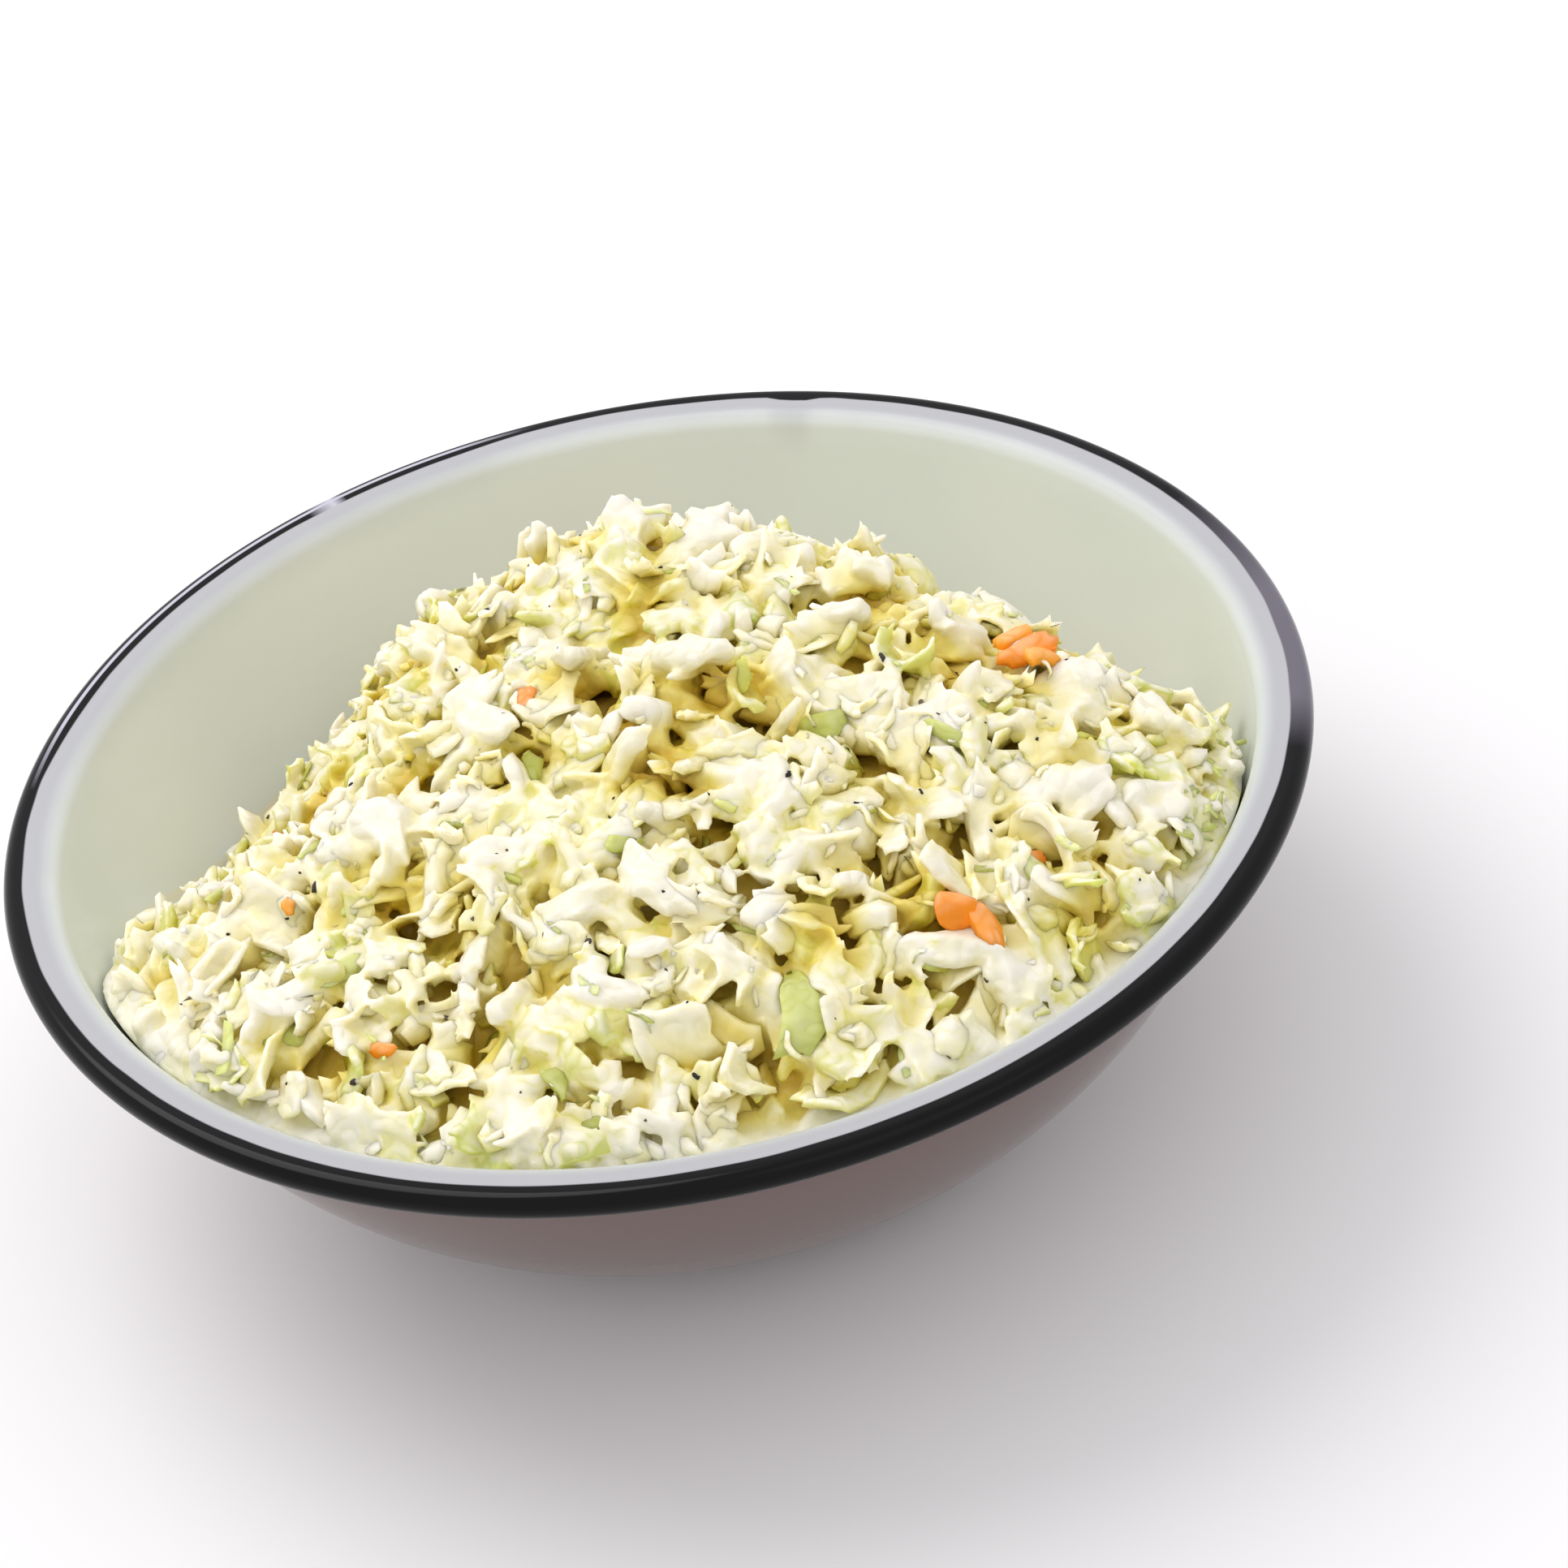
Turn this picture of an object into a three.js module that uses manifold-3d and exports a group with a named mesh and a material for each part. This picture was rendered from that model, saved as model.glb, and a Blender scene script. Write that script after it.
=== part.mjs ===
import * as THREE from "three";
import Module from "manifold-3d";

// Coleslaw heaped in a round enamelled steel bowl with a rolled rim.
// Millimetres, +Z up, the origin at the centre of the base. The low side of the heap is towards +Y.

// Bowl
const RIM_RADIUS = 120; // outermost edge of the rolled rim
const BOWL_HEIGHT = 74; // from the base to the top of the rim
const SHEET = 1.5; // steel with its enamel
const BEAD_RADIUS = 2.4; // the rolled edge's section
const LIP_LENGTH = 4.2; // flat lip between the rolled edge and the wall
const LIP_SLOPE = 6; // degrees above level, rising outwards
const LIP_FILLET = 4; // inside radius where the lip turns down into the wall
const WALL_SLOPE = 78; // degrees above level, at the top of the wall
const WALL_ARC = 96; // outside radius of the wall's curve
const BASE_CORNER = 8; // outside radius where the wall turns into the base
const BOWL_SEGMENTS = 48;

// Heap
const BED_GAP = 0.75; // between the heap's underside and the enamel
const PEAK_X = 4;
const PEAK_Y = 12;
const PEAK_HEIGHT = 98; // above the base
const MOUND_FULLNESS = 0.66; // below 1 the heap is fuller than a cosine hill, above 1 it is more pointed
const NEAR_EDGE = 6; // depth of the heap's edge below the rim, on the near side
const FAR_EDGE = 44.5; // the same on the far side
const EDGE_FALLS = [-50, 46]; // the Y between which the edge falls from one to the other
const SCOOP = { x: -77, y: 13, radius: 28, depth: 14 }; // where slaw has been taken from the left side
const CLUMP_SIZE = 27; // spacing of the large lumps of slaw
const CLUMP_RELIEF = 2.6; // their height above and below the even mound
const KNOB_SIZE = 9;
const KNOB_RELIEF = 3.2;
const TOP_RINGS = 16; // rings of points over the top of the heap
const BED_STEPS = 5;
const PIECE_MARGIN = 0.8; // least distance from a fused piece to the enamel
const SEED = 20;

// Chopped pieces spread over the heap, from the largest down: size in mm, bend as rise over length, tilt in degrees.
const CUTS = [
  { count: 9, size: [17, 11, 1.1], parts: [2, 2], bend: 0.16, wave: 0.9, tilt: 30, lift: 0.9 },
  { count: 42, size: [13, 6.5, 3.6], parts: [1, 1], bend: 0, wave: 0, tilt: 26, lift: 0.3 },
  { count: 36, size: [16, 3.4, 2.4], parts: [2, 1], bend: 0.12, wave: 0, tilt: 20, lift: 0.45 },
  { count: 46, size: [8.5, 6.4, 2.8], parts: [1, 1], bend: 0, wave: 0, tilt: 34, lift: 0.4 },
];

// Pieces that stand out, each at its own direction from the bowl's axis and its reach from the heap's peak.
const CHUNK = { parts: [2, 1], bend: 0.1, wave: 0, tilt: 0, lift: 0.3 };
const LEAF = { parts: [3, 2], bend: 0.12, wave: 0.8, tilt: 0, lift: 0.9 };
const SHOWN = [
  { ...CHUNK, azimuth: 90, reach: 0.15, size: [21, 13, 9], heading: 80, lift: 0.6 }, // crown of the heap
  { ...CHUNK, azimuth: 60, reach: 0.16, size: [19, 12, 5], heading: 100 },
  { ...LEAF, azimuth: 125, reach: 0.3, size: [15, 7, 1.4], heading: 170, pitch: 70 }, // standing sliver
  { ...CHUNK, azimuth: 220, reach: 0.57, size: [19, 13, 7], heading: 60 },
  { ...CHUNK, azimuth: 275, reach: 0.24, size: [20, 13, 7], heading: 20 },
  { ...CHUNK, azimuth: 340, reach: 0.86, size: [15, 11, 6], heading: 70 },
  { ...LEAF, azimuth: 281, reach: 0.86, size: [17, 9, 1.2], heading: 15 }, // pale green leaf
  { ...CHUNK, azimuth: 308, reach: 0.43, size: [12, 7, 4], heading: 30 }, // green core
  { ...CHUNK, azimuth: 227, reach: 0.87, size: [12, 9, 4], heading: 100 },
  { ...CHUNK, azimuth: 2, reach: 0.68, size: [20, 14, 8], heading: 60, lift: 0.4 },
  { ...CHUNK, azimuth: 342, reach: 0.66, size: [10, 5, 3.5], heading: 120 }, // carrot
  { ...CHUNK, azimuth: 302, reach: 0.8, size: [8, 4, 3], heading: 40 }, // carrot
];

const wasm = await Module();
wasm.setup();

const radians = THREE.MathUtils.degToRad;
const GOLDEN_ANGLE = Math.PI * (3 - Math.sqrt(5));

// Random numbers from 0 to 1, the same ones on every run.
function draws(seed) {
  let state = seed >>> 0;
  return () => {
    state = (Math.imul(state, 1664525) + 1013904223) >>> 0;
    return state / 4294967296;
  };
}

// The bowl's section, in the half plane of radius and height. An inward normal stands for each slope of the sheet.
const inward = (degrees) => new THREE.Vector2(-Math.sin(radians(degrees)), Math.cos(radians(degrees)));
const bead = new THREE.Vector2(RIM_RADIUS - BEAD_RADIUS, BOWL_HEIGHT - BEAD_RADIUS);
const lipNormal = inward(LIP_SLOPE);
const lipEnd = bead.clone().addScaledVector(lipNormal, BEAD_RADIUS);
lipEnd.x -= LIP_LENGTH * Math.cos(radians(LIP_SLOPE));
lipEnd.y -= LIP_LENGTH * Math.sin(radians(LIP_SLOPE));
const filletCentre = lipEnd.clone().addScaledVector(lipNormal, -LIP_FILLET);
const wallCentre = filletCentre.clone().addScaledVector(inward(WALL_SLOPE), LIP_FILLET + WALL_ARC - SHEET);
const footSlope = THREE.MathUtils.radToDeg(
  Math.acos((wallCentre.y - BASE_CORNER) / (WALL_ARC - BASE_CORNER)),
);
const cornerCentre = wallCentre.clone().addScaledVector(inward(footSlope), BASE_CORNER - WALL_ARC);

// A point of the wall, the base's corner or the lip's fillet, at a depth of d inside the outer surface.
const onWall = (slope, d) => wallCentre.clone().addScaledVector(inward(slope), d - WALL_ARC);
const onCorner = (slope, d) => cornerCentre.clone().addScaledVector(inward(slope), d - BASE_CORNER);
const onFillet = (slope, d) => filletCentre.clone().addScaledVector(inward(slope), LIP_FILLET - SHEET + d);

// Values in even steps from one to the other, both included.
const steps = (from, to, count) => Array.from({ length: count + 1 }, (_, i) => from + ((to - from) * i) / count);

// One face of the sheet, from its edge on the base up to the lip.
function sheetFace(d) {
  return [
    ...steps(0, footSlope, 2).map((slope) => onCorner(slope, d)),
    ...steps(footSlope, WALL_SLOPE, 6).slice(1).map((slope) => onWall(slope, d)),
    ...steps(WALL_SLOPE, LIP_SLOPE, 2).slice(1).map((slope) => onFillet(slope, d)),
  ];
}

// The rolled edge, from where the lip's underside meets it, round the outside, to the top of the lip.
function rolledEdge() {
  const meets = 180 + LIP_SLOPE - THREE.MathUtils.radToDeg(Math.asin((BEAD_RADIUS - SHEET) / BEAD_RADIUS));
  return [...steps(meets, 360, 5), ...steps(360, 450 + LIP_SLOPE, 3).slice(1)].map((turn) =>
    bead.clone().add(new THREE.Vector2(Math.cos(radians(turn)), Math.sin(radians(turn))).multiplyScalar(BEAD_RADIUS)),
  );
}

function bowlGeometry() {
  const section = [
    new THREE.Vector2(0, 0),
    ...sheetFace(0),
    ...rolledEdge(),
    ...sheetFace(SHEET).reverse(),
    new THREE.Vector2(0, SHEET),
  ];
  return new THREE.LatheGeometry(section, BOWL_SEGMENTS).rotateX(Math.PI / 2);
}

// Smooth noise from -1 to 1 on a square grid of cells, for lumps of one size.
function lumps(x, y, cell) {
  const corner = (i, j) => {
    const wave = Math.sin(i * 127.1 + j * 311.7 + SEED) * 43758.5453;
    return 2 * (wave - Math.floor(wave)) - 1;
  };
  const [i, j] = [Math.floor(x / cell), Math.floor(y / cell)];
  const [u, v] = [x / cell - i, y / cell - j].map((t) => t * t * (3 - 2 * t));
  const low = corner(i, j) * (1 - u) + corner(i + 1, j) * u;
  const high = corner(i, j + 1) * (1 - u) + corner(i + 1, j + 1) * u;
  return low * (1 - v) + high * v;
}

// The radius of the heap's underside at a height on the wall.
const bedDepth = SHEET + BED_GAP;
const bedSlope = (z) => THREE.MathUtils.radToDeg(Math.acos((wallCentre.y - z) / (WALL_ARC - bedDepth)));
const bedRadius = (z) => onWall(bedSlope(z), bedDepth).x;

// Where the heap's surface meets the wall, in one direction from the bowl's axis.
function edgePoint(azimuth) {
  let z = BOWL_HEIGHT - NEAR_EDGE;
  let r = bedRadius(z);
  for (let round = 0; round < 8; round++) {
    const t = THREE.MathUtils.smoothstep(r * Math.sin(azimuth), ...EDGE_FALLS);
    z = BOWL_HEIGHT - NEAR_EDGE - (FAR_EDGE - NEAR_EDGE) * t;
    r = bedRadius(z);
  }
  return new THREE.Vector3(r * Math.cos(azimuth), r * Math.sin(azimuth), z);
}

// A point of the heap's surface, from its peak, at reach 0, to its edge, at reach 1.
function heapPoint(azimuth, reach) {
  const edge = edgePoint(azimuth);
  const x = PEAK_X + (edge.x - PEAK_X) * reach;
  const y = PEAK_Y + (edge.y - PEAK_Y) * reach;
  const rise = Math.max(Math.cos((reach * Math.PI) / 2), 0) ** MOUND_FULLNESS;
  const scoop = SCOOP.depth * Math.exp(-(((x - SCOOP.x) ** 2 + (y - SCOOP.y) ** 2) / SCOOP.radius ** 2));
  const mound = edge.z + (PEAK_HEIGHT - edge.z) * rise - scoop * (1 - reach ** 6);
  const relief = CLUMP_RELIEF * lumps(x, y, CLUMP_SIZE) + KNOB_RELIEF * lumps(x, y, KNOB_SIZE);
  return new THREE.Vector3(x, y, mound + relief * (1 - reach ** 6));
}

// Three axes at a point of the surface: two along it and its outward normal.
function heapFrame(azimuth, reach) {
  const step = 0.02;
  const outward = heapPoint(azimuth, Math.min(reach + step, 1)).sub(heapPoint(azimuth, Math.max(reach - step, 0)));
  const round = heapPoint(azimuth + step, reach).sub(heapPoint(azimuth - step, reach));
  const normal = outward.clone().cross(round).normalize();
  outward.normalize();
  return { outward, normal, across: normal.clone().cross(outward) };
}

// The bare heap. Its top has 6 points on the first ring round the peak and 6 more on each ring after that, so that
// they lie evenly apart. From the last ring the underside runs down the wall and in along the base.
function coreGeometry() {
  const vertices = [heapPoint(0, 0)];
  const faces = [];
  for (let ring = 1; ring <= TOP_RINGS; ring++) {
    for (let i = 0; i < 6 * ring; i++) {
      vertices.push(heapPoint((i / (6 * ring)) * 2 * Math.PI, ring / TOP_RINGS));
    }
  }
  const onTop = (ring, i) => (ring === 0 ? 0 : 1 + 3 * ring * (ring - 1) + (i % (6 * ring)));
  for (let ring = 1; ring <= TOP_RINGS; ring++) {
    for (let i = 0; i < 6 * ring; i++) {
      const inner = Math.floor(i / ring) * (ring - 1) + (i % ring);
      faces.push(onTop(ring - 1, inner), onTop(ring, i), onTop(ring, i + 1));
      if ((i + 1) % ring !== 0) faces.push(onTop(ring - 1, inner), onTop(ring, i + 1), onTop(ring - 1, inner + 1));
    }
  }
  const columns = 6 * TOP_RINGS;
  const edge = vertices.length - columns;
  for (let row = 1; row <= BED_STEPS + 1; row++) {
    for (let i = 0; i < columns; i++) {
      const azimuth = (i / columns) * 2 * Math.PI;
      const slopes = steps(bedSlope(edgePoint(azimuth).z), footSlope, BED_STEPS);
      const p = row > BED_STEPS ? onCorner(0, bedDepth) : onWall(slopes[row], bedDepth);
      vertices.push(new THREE.Vector3(p.x * Math.cos(azimuth), p.x * Math.sin(azimuth), p.y));
    }
  }
  const onBed = (row, i) => edge + row * columns + (i % columns);
  for (let i = 0; i < columns; i++) {
    for (let row = 0; row <= BED_STEPS; row++) {
      faces.push(onBed(row, i), onBed(row + 1, i), onBed(row + 1, i + 1));
      faces.push(onBed(row, i), onBed(row + 1, i + 1), onBed(row, i + 1));
    }
    faces.push(onBed(BED_STEPS + 1, i), vertices.length, onBed(BED_STEPS + 1, i + 1));
  }
  vertices.push(new THREE.Vector3(0, 0, bedDepth));
  return new THREE.BufferGeometry().setFromPoints(vertices).setIndex(faces);
}

// A slab about the origin in parts of equal size, with its upper and lower faces split into triangles alike.
function slab(length, width, thick, columns, rows) {
  const points = [];
  for (const side of [1, -1]) {
    for (let i = 0; i <= columns; i++) {
      for (let j = 0; j <= rows; j++) {
        points.push(new THREE.Vector3((i / columns - 0.5) * length, (j / rows - 0.5) * width, (side * thick) / 2));
      }
    }
  }
  const layer = (columns + 1) * (rows + 1);
  const at = (i, j) => i * (rows + 1) + j;
  const faces = [];
  for (let i = 0; i < columns; i++) {
    for (let j = 0; j < rows; j++) {
      const [a, b, c, d] = [at(i, j), at(i + 1, j), at(i + 1, j + 1), at(i, j + 1)];
      faces.push(a, b, c, a, c, d);
      faces.push(a + layer, c + layer, b + layer, a + layer, d + layer, c + layer);
    }
  }
  const rim = [
    ...Array.from({ length: columns }, (_, i) => at(i, 0)),
    ...Array.from({ length: rows }, (_, j) => at(columns, j)),
    ...Array.from({ length: columns }, (_, i) => at(columns - i, rows)),
    ...Array.from({ length: rows }, (_, j) => at(0, rows - j)),
  ];
  rim.forEach((a, i) => {
    const b = rim[(i + 1) % rim.length];
    faces.push(a, a + layer, b + layer, a, b + layer, b);
  });
  return new THREE.BufferGeometry().setFromPoints(points).setIndex(faces);
}

// One chopped piece about the origin: a slab with uneven corners, bent along its length and wavy across it.
function cutPiece(cut, draw) {
  const grow = 0.8 + 0.4 * draw();
  const [length, width, thick] = cut.size.map((side) => side * grow);
  const piece = slab(length, width, thick, ...cut.parts);
  const [bow, sway] = [cut.bend * (0.5 + draw()), cut.bend * (draw() - 0.5)];
  const [skew, taper] = [0.5 * (draw() - 0.5), 0.6 * draw()];
  const place = piece.getAttribute("position");
  for (let i = 0; i < place.count; i++) {
    const along = (2 * place.getX(i)) / length;
    const across = (2 * place.getY(i)) / width;
    const x = place.getX(i) + skew * place.getY(i);
    const y = place.getY(i) * (1 - taper * Math.max(along, 0)) + sway * length * along * along;
    const ripple = cut.wave * Math.sin(2.5 * along + 2 * across);
    place.setXYZ(i, x, y, place.getZ(i) - bow * length * along * along + ripple);
  }
  return piece;
}

// A piece laid on the heap: heading turns it about the surface's normal, pitch and roll lean it, all in degrees.
function lay(piece, azimuth, reach, rise, heading, pitch, roll) {
  const { outward, across, normal } = heapFrame(azimuth, reach);
  const pose = new THREE.Matrix4()
    .makeBasis(outward, across, normal)
    .multiply(new THREE.Matrix4().makeRotationZ(radians(heading)))
    .multiply(new THREE.Matrix4().makeRotationY(radians(-pitch)))
    .multiply(new THREE.Matrix4().makeRotationX(radians(roll)))
    .setPosition(heapPoint(azimuth, reach).addScaledVector(normal, rise));
  return piece.clone().applyMatrix4(pose);
}

// True where every corner of a piece is clear of the bowl's wall and lip.
function clearOfBowl(geometry) {
  const place = geometry.getAttribute("position");
  for (let i = 0; i < place.count; i++) {
    const [r, z] = [Math.hypot(place.getX(i), place.getY(i)), place.getZ(i)];
    const wall = z < wallCentre.y ? bedRadius(Math.min(z, BOWL_HEIGHT - NEAR_EDGE + 1)) : lipEnd.x - LIP_FILLET;
    if (r > wall - PIECE_MARGIN) return false;
  }
  return true;
}

// Pieces of one kind over the heap, evenly spread on a spiral. One that meets the bowl moves inwards, or is left out.
function scatter(cut, turn) {
  const draw = draws(SEED + turn);
  const placed = [];
  for (let i = 0; i < cut.count; i++) {
    const piece = cutPiece(cut, draw);
    const [heading, pitch, roll] = [360 * draw(), cut.tilt * (2 * draw() - 1), cut.tilt * (2 * draw() - 1)];
    const azimuth = (i + turn / CUTS.length) * GOLDEN_ANGLE + turn;
    const start = 0.97 * Math.sqrt((i + 0.5) / cut.count);
    for (let reach = start; reach > start - 0.3 && reach > 0; reach -= 0.03) {
      const trial = lay(piece, azimuth, reach, cut.lift * cut.size[2], heading, pitch, roll);
      if (clearOfBowl(trial)) {
        placed.push(trial);
        break;
      }
    }
  }
  return placed;
}

// The pieces that stand out, each at its place.
function standouts() {
  const draw = draws(SEED);
  return SHOWN.map((one) =>
    lay(cutPiece(one, draw), radians(one.azimuth), one.reach, one.lift * one.size[2], one.heading, one.pitch ?? 0, 0),
  );
}

function toSolid(geometry) {
  return new wasm.Manifold(
    new wasm.Mesh({
      numProp: 3,
      vertProperties: new Float32Array(geometry.getAttribute("position").array),
      triVerts: new Uint32Array(geometry.index.array),
    }),
  );
}

function toGeometry(solid) {
  const { vertProperties, triVerts } = solid.getMesh();
  return new THREE.BufferGeometry()
    .setAttribute("position", new THREE.BufferAttribute(vertProperties, 3))
    .setIndex(new THREE.BufferAttribute(triVerts, 1));
}

// The heap with its pieces fused on. A scrap that touches nothing and a hollow that fusing has sealed are dropped.
function slawGeometry() {
  let heap = toSolid(coreGeometry());
  const pieces = [standouts(), ...CUTS.map((cut, i) => scatter(cut, i + 1))].flat();
  for (const piece of pieces) heap = heap.add(toSolid(piece));
  return toGeometry(heap.decompose().reduce((a, b) => (b.volume() > a.volume() ? b : a)));
}

function part(name, geometry, look) {
  const flat = geometry.index ? geometry.toNonIndexed() : geometry;
  flat.computeVertexNormals();
  const mesh = new THREE.Mesh(flat, new THREE.MeshStandardMaterial(look));
  mesh.name = name;
  return mesh;
}

const coleslaw = new THREE.Group();
coleslaw.add(part("bowl", bowlGeometry(), { color: 0xe9e9e2, roughness: 0.18, metalness: 0 }));
coleslaw.add(part("slaw", slawGeometry(), { color: 0xeee6c4, roughness: 0.4, metalness: 0 }));

export default coleslaw;
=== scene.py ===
import math

import bmesh
import bpy
import numpy as np
from mathutils import Matrix, Vector
from mathutils.bvhtree import BVHTree
from mathutils.kdtree import KDTree


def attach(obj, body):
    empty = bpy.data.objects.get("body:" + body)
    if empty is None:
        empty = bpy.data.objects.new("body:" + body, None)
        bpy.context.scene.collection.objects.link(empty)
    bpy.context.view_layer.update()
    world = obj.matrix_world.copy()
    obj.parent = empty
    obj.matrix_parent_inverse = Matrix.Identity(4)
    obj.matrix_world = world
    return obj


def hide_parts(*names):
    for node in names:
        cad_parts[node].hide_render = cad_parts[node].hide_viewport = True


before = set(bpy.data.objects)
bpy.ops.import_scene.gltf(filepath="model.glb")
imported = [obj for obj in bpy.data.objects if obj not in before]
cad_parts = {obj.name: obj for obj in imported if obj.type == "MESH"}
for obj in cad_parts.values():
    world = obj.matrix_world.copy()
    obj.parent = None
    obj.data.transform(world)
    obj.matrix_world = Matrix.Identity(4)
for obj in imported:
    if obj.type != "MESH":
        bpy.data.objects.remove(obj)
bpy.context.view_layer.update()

# Coleslaw heaped in a white enamelled steel bowl with a black rolled rim.
# Sizes are in millimetres, as in the solids, and become metres when a mesh is made.
MM = 0.001

# Bowl, the same values as its solid
RIM_RADIUS = 120.0
BOWL_HEIGHT = 74.0
SHEET = 1.5
BEAD_RADIUS = 2.4
LIP_LENGTH = 4.2
LIP_SLOPE = 6.0
LIP_FILLET = 4.0
WALL_SLOPE = 78.0
WALL_ARC = 96.0
BASE_CORNER = 8.0
BOWL_TURNS = 240  # facets round the bowl

# Heap, the same values as its solid
BED_GAP = 0.75
PEAK = (4.0, 12.0, 98.0)
MOUND_FULLNESS = 0.66
NEAR_EDGE = 6.0
FAR_EDGE = 44.5
EDGE_FALLS = (-50.0, 46.0)
SCOOP_AT = (-77.0, 13.0)
SCOOP_RADIUS = 28.0
SCOOP_DEPTH = 14.0
CLUMP_SIZE = 27.0
CLUMP_RELIEF = 2.6
KNOB_SIZE = 9.0
KNOB_RELIEF = 3.2
SEED = 20

# What lies on the heap
CORE_SINK = 5.0  # the smooth middle of the heap under the chopped pieces, below the solid's surface
CORE_BASE = SHEET + BED_GAP + 1
CLUMP_STEP = 1.3  # mean depth of the dips between clumps
CLUMP_WIDTH = 13.0
SKIN_CELL = 0.6  # the dressing joins what is closer than this, and rounds what is finer
SKIN_ROUNDING = 1
SKIN_LIMIT = 190000  # triangles
WALL_CLEARANCE = 0.35  # between a piece and the enamel
MEAN_REACH = 8  # cells of 1 mm, twice over, for the slaw's mean height
CREST_REACH = 5  # how far round a point the pieces count that it lies below
CREASE_SHADE_DEPTH = 10.0  # below the crests, where the painted crease shade is darkest
WALL_FADE = 12.0  # less painted crease shade shows within this distance of the enamel, where the slaw is thin
WALL_CREASE_SHADE = 0.25  # part of the painted crease shade that shows right at the enamel
SPREAD_LIMIT = 1.2  # how many spreads the largest pieces are over their kind's size
LEAST_CUP = 0.3  # part of its kind's cup that every piece has
LOOSE_RISE = 0.4  # loose pieces above held ones
FOLDED_SCALE = 0.86  # folded leaves against their listed size
PROBE_HEIGHT = 15.0  # above the heap, from where its top is looked for
GOLDEN_ANGLE = math.pi * (3 - math.sqrt(5))

# View of the photograph, solved from the ellipse of the rim
CAMERA_AT = (22.685, -548.404, 469.75)
CAMERA_AIM = (22.69, -20.49, 73.8)
CAMERA_ROLL = -10.492  # degrees
LENS = 85.2
SENSOR = 36.0


def linear(code):
    """An sRGB hex colour as linear red, green, blue and alpha."""
    parts = [int(code[i : i + 2], 16) / 255 for i in (1, 3, 5)]
    return tuple(c / 12.92 if c <= 0.04045 else ((c + 0.055) / 1.055) ** 2.4 for c in parts) + (1.0,)


def smoothstep(t):
    t = np.clip(t, 0, 1)
    return t * t * (3 - 2 * t)


# The bowl's section, in the half plane of radius and height


def inward(degrees):
    angle = math.radians(degrees)
    return np.array([-math.sin(angle), math.cos(angle)])


bead_centre = np.array([RIM_RADIUS - BEAD_RADIUS, BOWL_HEIGHT - BEAD_RADIUS])
lip_run = np.array([math.cos(math.radians(LIP_SLOPE)), math.sin(math.radians(LIP_SLOPE))])
lip_end = bead_centre + BEAD_RADIUS * inward(LIP_SLOPE) - LIP_LENGTH * lip_run
fillet_centre = lip_end - LIP_FILLET * inward(LIP_SLOPE)
wall_centre = fillet_centre + (LIP_FILLET + WALL_ARC - SHEET) * inward(WALL_SLOPE)
foot_slope = math.degrees(math.acos((wall_centre[1] - BASE_CORNER) / (WALL_ARC - BASE_CORNER)))
corner_centre = wall_centre + (BASE_CORNER - WALL_ARC) * inward(foot_slope)


def sheet_face(depth):
    """One face of the sheet, from its edge on the base up to the lip."""
    bend = LIP_FILLET - SHEET + depth
    corner = [corner_centre + inward(s) * (depth - BASE_CORNER) for s in np.linspace(0, foot_slope, 5)]
    wall = [wall_centre + inward(s) * (depth - WALL_ARC) for s in np.linspace(foot_slope, WALL_SLOPE, 26)]
    fillet = [fillet_centre + inward(s) * bend for s in np.linspace(WALL_SLOPE, LIP_SLOPE, 7)]
    return corner + wall[1:] + fillet[1:]


def rolled_edge():
    """The rolled edge, from the lip's underside round the outside to the top of the lip."""
    meets = 180 + LIP_SLOPE - math.degrees(math.asin((BEAD_RADIUS - SHEET) / BEAD_RADIUS))
    turns = np.radians(np.linspace(meets, 450 + LIP_SLOPE, 22))
    return [bead_centre + BEAD_RADIUS * np.array([math.cos(t), math.sin(t)]) for t in turns]


def inner_radius(z, gap):
    """The radius at a height that is a gap away from the enamel inside the bowl."""
    reach = WALL_ARC - SHEET - gap
    wall = wall_centre[0] + np.sqrt(np.maximum(reach**2 - (wall_centre[1] - z) ** 2, 0))
    return np.minimum(wall, lip_end[0] - LIP_FILLET - gap)


# The heap's surface, by direction from the bowl's axis and reach from the peak, 0, to the edge, 1


def lumps(x, y, cell, seed=SEED):
    """Smooth noise from -1 to 1 on a square grid of cells, as in the solids."""

    def corner(i, j):
        wave = np.sin(i * 127.1 + j * 311.7 + seed) * 43758.5453
        return 2 * (wave - np.floor(wave)) - 1

    i, j = np.floor(x / cell), np.floor(y / cell)
    u, v = smoothstep(x / cell - i), smoothstep(y / cell - j)
    low = corner(i, j) * (1 - u) + corner(i + 1, j) * u
    high = corner(i, j + 1) * (1 - u) + corner(i + 1, j + 1) * u
    return low * (1 - v) + high * v


def edge_point(azimuth):
    z = np.full_like(azimuth, BOWL_HEIGHT - NEAR_EDGE)
    r = inner_radius(z, BED_GAP)
    for _ in range(8):
        fall = smoothstep((r * np.sin(azimuth) - EDGE_FALLS[0]) / (EDGE_FALLS[1] - EDGE_FALLS[0]))
        z = BOWL_HEIGHT - NEAR_EDGE - (FAR_EDGE - NEAR_EDGE) * fall
        r = inner_radius(z, BED_GAP)
    return np.stack([r * np.cos(azimuth), r * np.sin(azimuth), z], -1)


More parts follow.
